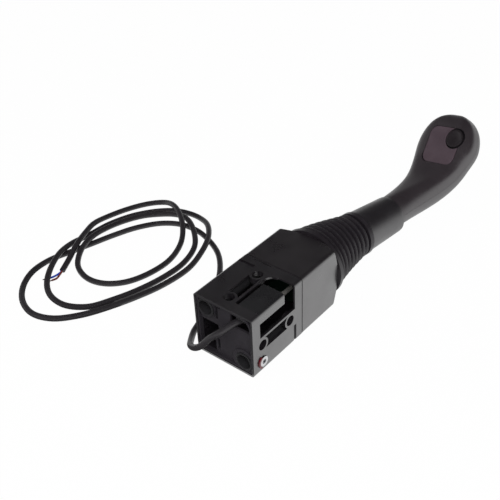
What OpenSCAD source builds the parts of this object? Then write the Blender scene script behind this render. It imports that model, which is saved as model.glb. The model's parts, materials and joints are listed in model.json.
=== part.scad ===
// Two-axis industrial joystick lying on its side, with its free cable on the same surface.
// +X runs along the housing's lever axis towards the handle, +Z is up, millimetres.
// The origin is the middle of the flat side that the housing lies on.

/* [Housing] */
// Width and height of the square housing
body_w = 54; // [50:0.5:65]
// Length of the lower housing
lower_len = 58; // [54:0.5:72]
// Length of the cover, from its joint with the lower housing to its end face
cover_len = 47; // [44:0.5:58]
// Width of the groove between lower housing and cover
joint_groove = 1; // [0.6:0.1:2]
// Depth of that groove
groove_depth = 0.5; // [0.3:0.1:1]
// Wall of the lower housing
shell_wall = 1.7; // [1.4:0.1:2.4]
// Wall of the cover
cover_wall = 3; // [2:0.1:4]
// Rounding of the cover's long edges
cover_round = 3; // [1.5:0.5:4]
// Radius where the cover's corners are turned off towards the lever
cover_turn_r = 27.5; // [26:0.5:29]
// How far the turned corners fall back
cover_turn_len = 6; // [3:0.5:8]
// Rounding of the lower housing's long edges
shell_round = 2.5; // [1:0.5:3]

/* [Side windows] */
// Distance of the round holes from the face's middle line, away from the window corner
hole_shift = 2.5; // [0:0.5:4]
// Radius of the round side holes
side_hole_r = 4.3; // [3:0.1:5]
// Distance of the near round hole from the cable end
near_hole_x = 11; // [10:0.5:14]
// Distance between the two round holes
hole_pitch = 32.5; // [28:0.5:40]
// Width of the long window between the holes
slot_w = 10; // [6:0.5:12]
// Wall left round each hole
ring_wall = 1.8; // [1:0.1:3]
// Rib between the long window and the corner window
rib_w = 2; // [1.2:0.1:3]
// Near end of the corner window
corner_x0 = 8.5; // [7:0.5:10]
// Far end of the corner window
corner_x1 = 49.5; // [46:0.5:52]
// Near edge of the latch slots
latch_x = 48; // [44:0.5:52]
// Width of the latch slots
latch_w = 3; // [2:0.5:4]
// Depth of the latch slots
latch_depth = 1.4; // [0.8:0.1:1.6]

/* [End insert] */
// Clearance between the screw tubes and the shell
tube_clear = 0.7; // [0.1:0.1:1]
// Radius of the bore of the screw tubes
tube_bore_r = 6; // [5:0.1:6.2]
// Wall of the screw tubes
tube_wall = 1.6; // [1:0.1:1.9]
// Radius of the panel screw's clearance hole
screw_hole_r = 2.75; // [2.2:0.05:3]
// Wall of the insert's rim
rim_wall = 1.5; // [1:0.1:2.5]
// Depth of the insert's plate behind its rim
plate_depth = 2; // [1:0.5:4]
// Thickness of the insert's plate
plate_t = 2; // [1.6:0.1:2.2]
// Corner radius of the insert beside the module
insert_round = 9; // [6:0.5:12]

/* [Lever] */
// Height of the pivot above the cover's end face
pivot_rise = 17; // [15:0.5:22]
// Sideways lean of the lever as it lies
lean = 10; // [0:1:12]
// Turn of the grip about the lever
grip_turn = 12; // [0:1:15]
// Radius of the lever shaft
shaft_r = 5; // [4.5:0.1:5.5]
// Radius of the gimbal and cross pins
pin_r = 2.5; // [2:0.1:3]
// Running clearance of the pins
pin_gap = 0.05; // [0.02:0.01:0.09]
// Inner radius of the gimbal ring
gimbal_bore_r = 8; // [7.5:0.1:9]
// Outer radius of the gimbal ring
gimbal_r = 12; // [11.5:0.1:13]
// Thickness of the gimbal ring along the lever
gimbal_t = 8; // [7:0.5:9]
// Thickness of each bearing ear
ear_t = 4; // [3:0.5:5]
// Inner radius of the spherical friction dish
dish_r = 30; // [28:0.5:31]
// Wall of the friction dish
dish_wall = 2.5; // [1.5:0.1:3]

/* [Bellows] */
// Number of convolutions
folds = 8; // [6:1:9]
// Outer radius at the base
bellows_base_r = 30; // [28:0.5:31]
// Outer radius at the top
bellows_top_r = 19.4; // [19:0.1:22]
// Depth of each convolution
fold_depth = 3.6; // [2:0.1:4]
// Thickness of the rubber
bellows_wall = 1.2; // [0.8:0.1:1.6]

/* [Handle] */
// Distance from the pivot to the sleeve
sleeve_start = 40; // [38:0.5:46]
// Length of the sleeve
sleeve_len = 43; // [36:0.5:50]
// Sleeve radius at the bellows
sleeve_r0 = 18.4; // [17:0.1:20]
// Sleeve radius at the grip
sleeve_r1 = 16.4; // [15:0.1:18]
// Wall of the sleeve
sleeve_wall = 2.2; // [1.8:0.1:3]
// Half width of the grip's neck on the far side
neck_far = 14.9; // [13:0.1:15.5]
// Half width of the neck on the button's side
neck_near = 13.5; // [13:0.1:15.5]
// Depth of the neck in front of the parting line
neck_front = 15.7; // [14:0.1:16]
// Depth of the neck behind the parting line
neck_back = 12.4; // [12:0.1:15]
// Half width of the grip's head on the far side
head_far_w = 28; // [26:0.5:30]
// Half width of the head on the button's side
head_near_w = 30.5; // [28:0.5:32]
// Length of the head beyond its middle
head_reach = 33; // [30:0.5:36]
// Angle of the head to the lever
head_angle = 51; // [45:1:55]
// Depth of the head in front of the parting line
head_front = 12.5; // [11:0.5:15]
// Depth of the head behind the parting line
head_back = 14.5; // [12:0.5:16]
// Wall of the grip shells
grip_wall = 2.1; // [1.8:0.1:3.4]

/* [Push button] */
// Radius of the button
button_r = 8; // [7:0.1:8.5]
// Clearance round the button
button_gap = 0.2; // [0.1:0.05:0.4]
// Wall of the button's ring
bezel_wall = 1.1; // [0.8:0.1:1.4]
// Travel of the button
button_travel = 1.8; // [1:0.1:2.2]
// Place of the button along the head
button_x = 9; // [6:0.5:10]
// Place of the button across the head
button_y = -13; // [-14:0.5:-11]

/* [Cable] */
// Diameter of the cable
cable_d = 5; // [4.5:0.1:5]
// Diameter of each bare core
core_d = 1.7; // [1.2:0.1:1.8]

/* [Hidden] */
$fn = 48;

half = body_w / 2;
body_len = lower_len + joint_groove + cover_len;
cover_x = lower_len + joint_groove;
pivot_x = body_len + pivot_rise;
insert_half = half - shell_wall - 0.15;
insert_x = 0.6;
plate_x = insert_x + plate_depth;
tube_r = tube_bore_r + tube_wall;
tube_offset = half - shell_wall - tube_r - tube_clear;
cover_tube_r = screw_hole_r + 1.65;
tube_seat_x = lower_len - 8;
hole_xs = [near_hole_x, near_hole_x + hole_pitch];
ring_r = side_hole_r + ring_wall;
window_lo = -hole_shift - slot_w / 2;
window_hi = -hole_shift + slot_w / 2 + 0.5;
corner_lo = window_hi + rib_w;
spigot_gap = 0.15;
touch = 0.02;

// Carries children from the lever-axis frame (x from the cable end) to the lying frame
module lying() {
    translate([-body_len / 2, 0, half]) children();
}

// Turns an outline drawn in Y and Z so that it is extruded along +X
module along_x(x, len) {
    translate([x, 0, 0]) rotate([90, 0, 90]) linear_extrude(len) children();
}

// A cylinder along +X
module rod_x(x, len, r) {
    translate([x, 0, 0]) rotate([0, 90, 0]) cylinder(h = len, r = r);
}

// Cuts an outline drawn in X and Z into the -Y side
module into_side(y, depth) {
    translate([0, y + depth, 0]) rotate([90, 0, 0]) linear_extrude(depth) children();
}

// The same on the top, mirrored about the corner that the two sides share
module both_sides() {
    children();
    mirror([0, 1, 1]) children();
}

// Rounded rectangle as plain squares and circles
module round_rect(x0, x1, y0, y1, r) {
    translate([x0 + r, y0]) square([x1 - x0 - 2 * r, y1 - y0]);
    translate([x0, y0 + r]) square([x1 - x0, y1 - y0 - 2 * r]);
    for (x = [x0 + r, x1 - r], y = [y0 + r, y1 - r]) translate([x, y]) circle(r);
}

// Square outline with one larger corner radius beside the module, at -Y +Z
module one_round_square(h, r_small, r_big) {
    difference() {
        round_rect(-h, h, -h, h, r_small);
        translate([-h - 1, h - r_big]) square([r_big + 1, r_big + 1]);
    }
    translate([-h + r_big, h - r_big]) circle(r_big);
}

// Places children at both screw tubes
module at_tubes() {
    for (s = [1, -1]) translate([0, s * tube_offset, s * tube_offset]) children();
}

/* Lower housing: thin square shell with round holes, windows and latch slots */
module lower_housing() {
    color("#2b2a2c") lying() difference() {
        along_x(0, lower_len) round_rect(-half, half, -half, half, shell_round);
        along_x(-1, lower_len + 2) square(2 * (half - shell_wall), center = true);
        both_sides() side_openings();
        corner_window();
        both_sides() latch_slot();
        lock_screw_hole(lock_head_r + 0.3, shell_wall + 0.5);
        translate([lower_len - 1.7, 0, half - 0.9]) cube([1, 16.5, 3]);
    }
    color("#2b2a2c") lying() both_sides() hole_rings();
}

// The two round holes and the long window of one side
module side_openings() {
    for (x = hole_xs) into_side(-half - 1, shell_wall + 2)
        translate([x, -hole_shift]) circle(side_hole_r);
    into_side(-half - 1, shell_wall + 2) difference() {
        translate([hole_xs[0], window_lo]) square([hole_pitch, window_hi - window_lo]);
        for (x = hole_xs) translate([x, -hole_shift]) circle(ring_r);
    }
}

// Short collars that stand inside the shell round each hole
module hole_rings() {
    for (x = hole_xs) translate([x, -half + shell_wall - touch, -hole_shift])
        rotate([-90, 0, 0]) difference() {
            cylinder(h = 3, r = ring_r);
            translate([0, 0, -1]) cylinder(h = 5, r = side_hole_r);
        }
}

// Window across the corner at -Y +Z
module corner_window() {
    deep = half - corner_lo;
    into_side(-half - 1, shell_wall + 2)
        translate([corner_x0, corner_lo]) square([corner_x1 - corner_x0, deep + 1]);
    translate([0, 0, half - shell_wall - 1]) linear_extrude(shell_wall + 2)
        difference() {
            translate([corner_x0, -half - 1]) square([corner_x1 - corner_x0, deep + 1]);
            window_corner();
        }
}

// What the rounded far corner of the top window leaves standing
module window_corner() {
    r = 7;
    difference() {
        translate([corner_x1 - 1 - r, -corner_lo - r]) square([r + 2, r + 1]);
        translate([corner_x1 - 1 - r, -corner_lo - r]) circle(r);
    }
}

module latch_slot() {
    translate([latch_x, -half - 1, -half - 1])
        cube([latch_w, latch_depth + 1, half - 10.5 + 1]);
}

lock_x = 11;
lock_z = -18;
lock_head_r = 4.2;
lock_proud = 0.9;
module lock_screw_hole(r, depth) {
    translate([lock_x, -half - 1, lock_z]) rotate([-90, 0, 0]) cylinder(h = depth + 1, r = r);
}

/* End insert: rim, plate with openings, seats of the screw tubes, boss of the lock screw */
seat_len = 6;
tube_fit = 0.1;
module end_insert() {
    color("#38363a") lying() difference() {
        union() {
            difference() {
                along_x(insert_x, rim_len) one_round_square(insert_half, 1.5, insert_round);
                along_x(insert_x - 1, rim_len + 2)
                    one_round_square(insert_half - rim_wall, 0.8, insert_round - rim_wall);
            }
            insert_plate();
            intersection() {
                at_tubes() rod_x(plate_x - 0.9, seat_len + 0.9, tube_r + 1.1);
                along_x(insert_x, 30) square(2 * insert_half - 1.8, center = true);
            }
            translate([plate_x - 1.3, -tube_offset, -tube_offset]) rotate([0, 90, 0])
                intersection() {
                    cylinder(h = 3, r = tube_r + 2.9);
                    translate([-tube_r - 2.9, -tube_r + 0.2, 0]) cube([20, 20, 3]);
                }
        }
        at_tubes() rod_x(insert_x - 1, 30, tube_r + tube_fit);
        difference() {
            along_x(insert_x - 1, 30) square(80, center = true);
            along_x(insert_x - 2, 32) one_round_square(insert_half, 1.5, insert_round);
        }
    }
}

/* Screw tubes: steel, with the seat of the panel screw at the bottom */
module screw_tubes() {
    color("#4a4a4e") lying() difference() {
        at_tubes() difference() {
            rod_x(insert_x, lower_len - insert_x - 2, tube_r);
            rod_x(insert_x - 1, tube_seat_x - insert_x + 1, tube_bore_r);
            rod_x(insert_x, lower_len, screw_hole_r);
        }
        lock_screw_hole(lock_head_r + 0.3, lock_seat);
        lock_screw_hole(2.1, half - tube_offset);
    }
}
rim_len = near_hole_x - ring_r - insert_x - 0.4;

open_x0 = 5;
open_hi = insert_half - rim_wall;
module insert_plate() {
    along_x(plate_x, plate_t) difference() {
        one_round_square(insert_half - 0.5, 1.2, insert_round - 0.5);
        difference() {
            translate([-open_hi, 10.5]) square([open_hi - open_x0, open_hi - 10.5]);
            translate([-open_hi, 10.5]) difference() {
                translate([-1, open_hi - 10.5 - 7]) square([8, 8]);
                translate([7, open_hi - 10.5 - 7]) circle(7);
            }
        }
        translate([10.5, -open_hi]) square([open_hi - 10.5, open_hi - 1]);
        translate([7, -3]) square([open_hi - 7, 7.5]);
        translate([7, 9.5]) square([2, 13]);
        translate([4.3, 20.3]) square([6.5, 3]);
        translate([6.6, -19]) square([2.2, 10]);
    }
}

/* Cover: hollow, open towards the lower housing, turned off at the lever end */
cover_in = half - cover_wall;
ledge_x = body_len - 18;
end_wall = 3.5;
lever_hole_r = 18.4;
module cover() {
    color("#302e31") lying() difference() {
        union() {
            intersection() {
                along_x(cover_x, cover_len) round_rect(-half, half, -half, half, cover_round);
                turned_end();
            }
            along_x(lower_len - 2, joint_groove + 2 + touch)
                square(2 * (half - shell_wall - spigot_gap), center = true);
            along_x(lower_len + touch, joint_groove) round_rect(-half + groove_depth,
                half - groove_depth, -half + groove_depth, half - groove_depth, shell_round);
        }
        difference() {
            union() {
                along_x(lower_len - 3, ledge_x - lower_len + 3)
                    square(2 * cover_in, center = true);
                along_x(ledge_x - 1, body_len - end_wall - ledge_x + 1)
                    square(2 * (cover_in - 1.4), center = true);
            }
            at_tubes() rod_x(lower_len - 2, cover_len + 9, cover_tube_r);
        }
        rod_x(body_len - end_wall - 1, end_wall + 2, lever_hole_r);
        at_tubes() rod_x(lower_len - 4, cover_len + 9, screw_hole_r);
        bearing_screw_places() rod_x(body_len - 8, 9, 1.25);
    }
}

// Cone that turns the corners off, as on a nut
module turned_end() {
    reach = half * 1.45;
    slope = cover_turn_len / (half * sqrt(2) - cover_turn_r);
    translate([body_len, 0, 0]) rotate([0, 90, 0]) rotate_extrude($fn = 96)
        polygon([[0, 0], [cover_turn_r - 0.5, 0], [reach, -slope * (reach - cover_turn_r)],
            [reach, -cover_len - 1], [0, -cover_len - 1]]);
}

module bearing_screw_places() {
    for (a = [135, 315]) rotate([a, 0, 0]) translate([0, 21.6, 0]) children();
}

/* Bearing plate: round plate with the two ears that carry the gimbal */
plate_r = 25.6;
bearing_t = 3;
ear_w = 6.5;
ear_in = gimbal_r + 1;
module bearing_plate() {
    color("#55565a") lying() difference() {
        union() {
            rod_x(body_len, bearing_t, plate_r - 2.2);
            rod_x(body_len + 1.7, bearing_t - 1.7, plate_r);
            for (s = [1, -1]) ear(s);
        }
        rod_x(body_len - 1, bearing_t + 2, 15.2);
        bearing_screw_places() rod_x(body_len - 1, bearing_t + 2, 1.6);
        bearing_screw_places() rod_x(body_len + bearing_t - 1.2, 3, 3.1);
        translate([pivot_x, 0, -gimbal_r - 9]) cylinder(h = 2 * gimbal_r + 18, r = pin_r + 1.1);
    }
}

module ear(side) {
    z0 = side > 0 ? ear_in : -ear_in - ear_t;
    translate([0, 0, z0]) {
        translate([body_len + 1, -ear_w, 0]) cube([pivot_rise - 1, 2 * ear_w, ear_t]);
        translate([pivot_x, 0, 0]) cylinder(h = ear_t, r = ear_w);
    }
}

module bearing_screws() {
    color("#b9bbbd") lying() bearing_screw_places() {
        rod_x(body_len - 7.6, bearing_t + 6.4, 1.25);
        difference() {
            rod_x(body_len + bearing_t - 1.2, 2.2, 2.75);
            translate([body_len + bearing_t - 0.2, 0, 0]) rotate([0, 90, 0])
                cylinder(h = 2, r = 1.25, $fn = 6);
        }
    }
}

module pivot_bushes() {
    color("#b08d57") lying() for (s = [1, -1])
        translate([pivot_x, 0, 0]) mirror([0, 0, s > 0 ? 0 : 1]) difference() {
            union() {
                translate([0, 0, ear_in]) cylinder(h = ear_t, r = pin_r + 1.1);
                translate([0, 0, ear_in - 0.7]) cylinder(h = 0.7, r = pin_r + 2.2);
            }
            translate([0, 0, ear_in - 2]) cylinder(h = ear_t + 4, r = pin_r + pin_gap);
        }
}

/* Friction dish: a hollow spherical cap centred on the pivot */
dish_edge = 36;
carrier_t = 2.5;
carrier_x = ledge_x - carrier_t;
module friction_dish() {
    foot = dish_r + dish_wall - 0.8;
    color("#c9c3b4") lying() {
        translate([pivot_x, 0, 0]) rotate([0, -90, 0]) rotate_extrude($fn = 72)
            intersection() {
                difference() {
                    circle(dish_r + dish_wall, $fn = 96);
                    circle(dish_r, $fn = 96);
                }
                polygon([[0, 0], [0, 60], [60 * tan(dish_edge), 60]]);
            }
        rod_x(ledge_x, pivot_x - foot - ledge_x, 7);
    }
}

/* Sensor carrier: cross wall of the cover with two pillars for the board */
board_gap = 6.4;
board_t = 1.6;
board_x = carrier_x - board_gap - board_t;
pillar_at = 14.5;
module sensor_carrier() {
    color("#3a3a3d") lying() difference() {
        union() {
            along_x(carrier_x, carrier_t) square(2 * (cover_in - 0.1), center = true);
            for (s = [1, -1]) translate([0, s * pillar_at, -s * pillar_at])
                rod_x(carrier_x - board_gap, board_gap + touch, 3);
        }
        at_tubes() rod_x(carrier_x - 1, carrier_t + 2, cover_tube_r + 0.15);
        for (s = [1, -1]) translate([0, s * pillar_at, -s * pillar_at])
            rod_x(carrier_x - board_gap - 1, board_gap, 1.25);
    }
}

module sensor_board() {
    color("#1f6b45") lying() difference() {
        along_x(board_x, board_t) square(40, center = true);
        at_tubes() rod_x(board_x - 1, board_t + 2, cover_tube_r + 0.8);
        for (s = [1, -1]) translate([0, s * pillar_at, -s * pillar_at])
            rod_x(board_x - 1, board_t + 2, 1.6);
    }
}

// Sensor chips face the dish, the connector faces the cable
module board_parts() {
    color("#222222") lying() {
        for (p = [[0, 0], [-9, 4], [7, -6]])
            translate([board_x + board_t, p[0] - 2.5, p[1] - 2.5]) cube([1.6, 5, 5]);
        translate([board_x - 6, -15, 2]) cube([6, 10, 7]);
    }
}

module board_screws() {
    color("#b9bbbd") lying() for (s = [1, -1])
        translate([0, s * pillar_at, -s * pillar_at]) {
            rod_x(board_x - 1, board_t + board_gap, 1.25);
            rod_x(board_x - 2.2, 2.2, 2.8);
        }
}

/* Module that fills the near part of the corner window */
module_x1 = 37.5;
module_w = 19;
module_h = 9;
module plug_module() {
    lip = half - 0.3;
    color("#262629") lying() {
        difference() {
            union() {
                along_x(corner_x0 + 0.25, module_x1 - corner_x0 - 0.25) intersection() {
                    polygon([[-lip, lip], [-lip + module_w, lip], [-lip + module_w, lip - 3],
                        [-lip + module_w - 2, lip - module_h], [-lip, lip - module_h]]);
                    round_rect(-lip, lip, -lip, lip, shell_round);
                }
                translate([3.2, -half + 7, half - 8]) cube([6, 10, 3]);
            }
            translate([module_x1 - 3, -half + 3, half - 7.5]) cube([4, 12, 4]);
        }
    }
}

/* Cable, its clamp and the cores */
route = [
    [28, -13, 40.4], [22, -13, 40.4], [16, -13, 40.4], [10, -11.8, 41.2], [3, -8.6, 41.2],
    [-5.2, -3, 36.2], [-10.2, 4.2, 29.4], [-12.8, 11.3, 20.1], [-11.8, 19.3, 13.2], [-7.2, 28, 7.6],
    [1, 35, 3.9], [9.9, 40.5, 2.5], [20, 44, 2.5], [42, 53, 2.5], [64, 64, 2.5],
    [82, 76, 2.5], [97, 91, 2.5], [107, 109, 2.5], [113, 129, 2.5], [112, 149, 2.5],
    [102, 166, 2.5], [84, 179, 2.5], [64, 187, 2.5], [44, 193, 2.5], [24, 199, 2.5],
    [4, 205, 2.5], [-16, 204, 2.5], [-34, 194, 2.5], [-47, 178, 2.5], [-52, 159, 2.5],
    [-46, 141, 2.5], [-31, 127, 2.5], [-13, 117, 2.5], [12, 107, 2.5], [38, 100, 2.5],
    [66, 98, 2.8], [88, 102, 5.8], [106, 110, 7.8], [121, 124, 6.5], [129, 140, 3.5],
    [130, 156, 2.5], [125, 171, 2.5], [113, 185, 2.5], [95, 197, 2.5], [73, 204, 2.5],
    [50, 206, 2.5], [29, 205, 5.5], [10, 199, 7.8], [-8, 190, 5.5], [-21, 179, 2.5],
    [-29, 163, 2.5], [-29, 145, 2.5], [-19, 129, 2.5], [-2, 120, 2.5], [20, 112, 2.5],
    [45, 107, 2.5], [70, 107, 2.5], [92, 114, 4.5], [108, 130, 7.3], [117, 147, 7.8],
    [118, 163, 5], [112, 178, 2.5], [100, 189, 2.5], [82, 196, 3.5], [62, 197.5, 5.8],
    [44, 195, 7.8], [28, 190, 6.5], [14, 180, 3.5], [7, 166, 2.5], [6, 151, 2.5], [12, 137, 2.5],
    [25, 126, 2.5], [45, 120, 2.5], [67, 120, 2.5], [88, 127, 4.5], [104, 139, 8.5],
    [114, 152, 12.5], [121, 166, 12.5], [124, 181, 8.5], [117, 197, 4.5], [102, 208, 2.7],
    [82, 213, 3.5], [62, 211, 7], [46, 205, 8], [30, 198, 7.8], [14, 190.5, 4.5], [0, 184, 2.5]];
route_shift = [-body_len / 2, 0, 0];

function unit(v) = v / norm(v);
function tangent(p, i) = unit(p[min(i + 1, len(p) - 1)] - p[max(i - 1, 0)]);
// Ring of points round one point of a route
function ring(p, i, r, n) =
    let (t = tangent(p, i), side = unit(cross(t, [0, 0, 1])), up = cross(side, t))
    [for (k = [0:n - 1]) p[i] + r * (cos(360 * k / n) * side + sin(360 * k / n) * up)];

// Tube swept along a list of points
module tube(p, r, n) {
    m = len(p);
    points = [for (i = [0:m - 1]) each ring(p, i, r, n)];
    walls = [for (i = [0:m - 2], k = [0:n - 1])
        let (a = i * n + k, b = i * n + (k + 1) % n) each [[a, a + n, b + n], [a, b + n, b]]];
    ends = [[for (k = [0:n - 1]) k], [for (k = [n - 1:-1:0]) (m - 1) * n + k]];
    polyhedron(points = points, faces = concat(walls, ends));
}

module cable() {
    color("#2a2a2d") tube([for (p = route) p + route_shift], cable_d / 2, 10);
}

core_start = route[len(route) - 1] + route_shift;
core_back = [-0.4, -0.2, 0];
module core_blue() {
    s = core_start;
    color("#2f5fd0") tube([s + [-0.6, 0.4, -0.5], s + [-5, 0.2, -1], s + [-10, 1.6, -1.6],
        s + [-15, 4.2, -1.6]], core_d / 2, 8);
}

module core_brown() {
    s = core_start;
    color("#7a2a22") tube([s + [-1.2, -1.2, 0.6], s + [-5, -2.6, 0], s + [-9, -2.8, -1.5],
        s + [-13, -1.6, -1.6]], core_d / 2, 8);
}

// Clamp block that hangs from the module and grips the cable behind the insert's opening
clamp_x = 16;
clamp_y = -13;
clamp_z = 13.4;
module cable_clamp() {
    color("#3c3b3f") lying() difference() {
        translate([clamp_x, clamp_y - 4.2, clamp_z - 4])
            cube([6, 8.4, half - 0.3 - module_h - clamp_z + 4]);
        translate([0, clamp_y, clamp_z]) rod_x(clamp_x - 1, 9, cable_d / 2 + 0.04);
    }
}

// Tie that holds the cable behind the clamp
module cable_tie() {
    color("#d8d6cf") lying() translate([0, clamp_y, clamp_z]) {
        difference() {
            rod_x(clamp_x + 6.05, 2.4, cable_d / 2 + 1.1);
            rod_x(clamp_x + 5, 4, cable_d / 2 + 0.02);
        }
        translate([clamp_x + 6.05, -6.7, -1.8]) cube([4, 3.4, 3.6]);
    }
}

// Lead from the clamp to the board's connector
module inner_lead() {
    color("#8c8a86") lying() tube([[28.05, clamp_y, clamp_z], [34, clamp_y, clamp_z],
        [43, clamp_y + 0.5, clamp_z - 2.4], [52, -11.5, 7.5], [board_x - 14, -10, 5.5],
        [board_x - 6.05, -10, 5.5]], cable_d / 2 - 0.65, 10);
}

/* Side lock screw with its lacquer seal */
lock_seat = half - tube_offset - tube_r + 0.2;
module lock_screw() {
    color("#c8c9cb") lying() translate([lock_x, -half, lock_z]) rotate([-90, 0, 0]) {
        difference() {
            translate([0, 0, -lock_proud]) cylinder(h = lock_seat + lock_proud, r = lock_head_r);
            translate([0, 0, -lock_proud - 1]) cylinder(h = 2.6, r = 2.2, $fn = 6);
        }
        translate([0, 0, lock_seat - touch])
            cylinder(h = half - tube_offset - tube_bore_r - lock_seat - 0.05, r = 2.05);
    }
}

module seal_lacquer() {
    color("#a3122d") lying() translate([lock_x, -half, lock_z]) rotate([90, 0, 0])
        difference() {
            cylinder(h = 1.1, r = lock_head_r + 1.7);
            translate([0, 0, -1]) cylinder(h = 4, r = lock_head_r + 0.05);
            translate([-2.4, -10, -1]) cube([20, 20, 4]);
        }
}

/* Frames of the lever */
module at_shaft() {
    lying() translate([pivot_x, 0, 0]) rotate([0, 0, -lean]) children();
}

module at_handle() {
    at_shaft() rotate([-grip_turn, 0, 0]) children();
}

head_t = 165;
head_w = 29;
module at_head() {
    at_handle() translate([head_t, 0, head_w]) rotate([0, -head_angle, 0]) children();
}

/* Gimbal */
module gimbal_ring() {
    color("#8f9296") at_shaft() difference() {
        rod_x(-gimbal_t / 2, gimbal_t, gimbal_r);
        rod_x(-gimbal_t, 2 * gimbal_t, gimbal_bore_r);
        translate([0, -20, 0]) rotate([-90, 0, 0]) cylinder(h = 40, r = pin_r + pin_gap);
        translate([0, 0, -20]) cylinder(h = 40, r = pin_r);
    }
}

module gimbal_pins() {
    color("#c3c5c8") at_shaft() for (s = [1, -1]) mirror([0, 0, s > 0 ? 0 : 1])
        translate([0, 0, gimbal_bore_r + 0.3])
            cylinder(h = ear_in + ear_t + 0.6 - gimbal_bore_r, r = pin_r);
}

/* Lever shaft: hollow, with a shoulder under the sleeve and a slim lower end */
lead_bore_r = 2.6;
spring_shoulder = 12;
shoe_t = 26;
module lever_shaft() {
    color("#a7a9ac") at_shaft() difference() {
        union() {
            rod_x(-spring_shoulder, spring_shoulder + sleeve_start + 13, shaft_r);
            rod_x(-shoe_t, shoe_t - spring_shoulder + touch, 3);
            rod_x(sleeve_start - 3, 3, 7.5);
        }
        rod_x(-6, 120, lead_bore_r);
        translate([-4, 0, 0]) cylinder(h = 10, r = 1.6);
        translate([0, -10, 0]) rotate([-90, 0, 0]) cylinder(h = 20, r = pin_r);
    }
}

module cross_pins() {
    color("#c3c5c8") at_shaft() for (s = [1, -1])
        mirror([0, s > 0 ? 0 : 1, 0]) translate([0, lead_bore_r + 0.5, 0]) rotate([-90, 0, 0])
            cylinder(h = gimbal_r - 0.3 - lead_bore_r - 0.5, r = pin_r);
}

shoe_gap = 0.25;
module friction_shoe() {
    color("#8a5a2b") at_shaft() difference() {
        intersection() {
            rotate([0, -90, 0]) cylinder(h = dish_r, r = 5);
            sphere(r = dish_r - shoe_gap, $fn = 120);
            rod_x(-dish_r - 2, dish_r + 2 - shoe_t + 2.4, 6);
        }
        rod_x(-shoe_t, 10, 3.05);
        rod_x(-dish_r + 1.6, 2.8, 2.5);
    }
}

module sensor_magnet() {
    color("#d0d2d4") at_shaft() rod_x(-dish_r + 1.65, 2.3, 2.45);
}

// Coil between the shaft's shoulder and the shoe
module coil(x0, x1, r, wire, turns, n) {
    steps = turns * n;
    tube_points = [for (i = [0:steps])
        let (a = 360 * i / n) [x0 + (x1 - x0) * i / steps, r * cos(a), r * sin(a)]];
    m = len(tube_points);
    sides = 6;
    points = [for (i = [0:m - 1])
        let (a = 360 * i / n, out = [0, cos(a), sin(a)], ax = [1, 0, 0])
        for (k = [0:sides - 1])
            tube_points[i] + wire * (cos(360 * k / sides) * out + sin(360 * k / sides) * ax)];
    walls = [for (i = [0:m - 2], k = [0:sides - 1])
        let (a = i * sides + k, b = i * sides + (k + 1) % sides)
        each [[a, b, b + sides], [a, b + sides, a + sides]]];
    ends = [[for (k = [sides - 1:-1:0]) k], [for (k = [0:sides - 1]) (m - 1) * sides + k]];
    polyhedron(points = points, faces = concat(walls, ends));
}

module shoe_spring() {
    color("#c9cbcd") at_shaft()
        coil(-shoe_t + 2.4 + 0.65, -spring_shoulder - 0.65, 4.0, 0.55, 4, 12);
}

/* Bellows: rubber tube whose rings turn from the cover's end to the leaning lever */
bead_len = 3.7;
bell_start = body_len + 0.1 + bead_len;
bell_top = sleeve_start + 1.6;
bell_pull = 20;
function bell_centre(u) =
    let (p0 = [bell_start, 0, 0],
        p3 = [pivot_x + bell_top * cos(lean), -bell_top * sin(lean), 0],
        p1 = p0 + [bell_pull, 0, 0],
        p2 = p3 - bell_pull * [cos(lean), -sin(lean), 0], v = 1 - u)
    v * v * v * p0 + 3 * v * v * u * p1 + 3 * v * u * u * p2 + u * u * u * p3;
// Where the rubber lies on the surface it is pressed flat, at the height low
function bell_ring(u, r, n, low) =
    let (c = bell_centre(u), a = lean * u, side = [sin(a), cos(a), 0])
    [for (k = [0:n - 1]) c + r * cos(360 * k / n) * side
        + [0, 0, max(low, r * sin(360 * k / n))]];
// Outer radii: a base collar, the convolutions, and a top collar
collar_u = 0.02;
top_u = 0.93;
fold_u = [for (i = [0:4 * folds]) collar_u + (top_u - collar_u) * i / (4 * folds)];
function fold_outer(i) =
    let (u = (i / (4 * folds)), r = bellows_base_r - 1 + (bellows_top_r - bellows_base_r + 0.6) * u)
    (i % 4 == 0 || i % 4 == 3) ? r - fold_depth : r;
bell_u = concat([0], fold_u, [top_u + 0.005, 1]);
bell_outer = concat([bellows_base_r - 3.3], [for (i = [0:4 * folds]) fold_outer(i)],
    [bellows_top_r, bellows_top_r]);
bell_inner = concat([bellows_base_r - 3.3 - bellows_wall],
    [for (i = [0:4 * folds]) fold_outer(i) - bellows_wall], [sleeve_r0 - 1.1, sleeve_r0 - 1.1]);

// Bead round the bearing plate's lip; the surface it lies on presses it flat
module bellows_bead() {
    color("#1f1e20") lying() intersection() {
        difference() {
            rod_x(body_len + 0.1, bead_len, bellows_base_r);
            rod_x(body_len, bearing_t + 0.05, plate_r + 0.1);
            rod_x(body_len, bead_len + 2, bellows_base_r - 5.2);
        }
        translate([body_len, -40, -half]) cube([10, 80, 80]);
    }
}

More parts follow.
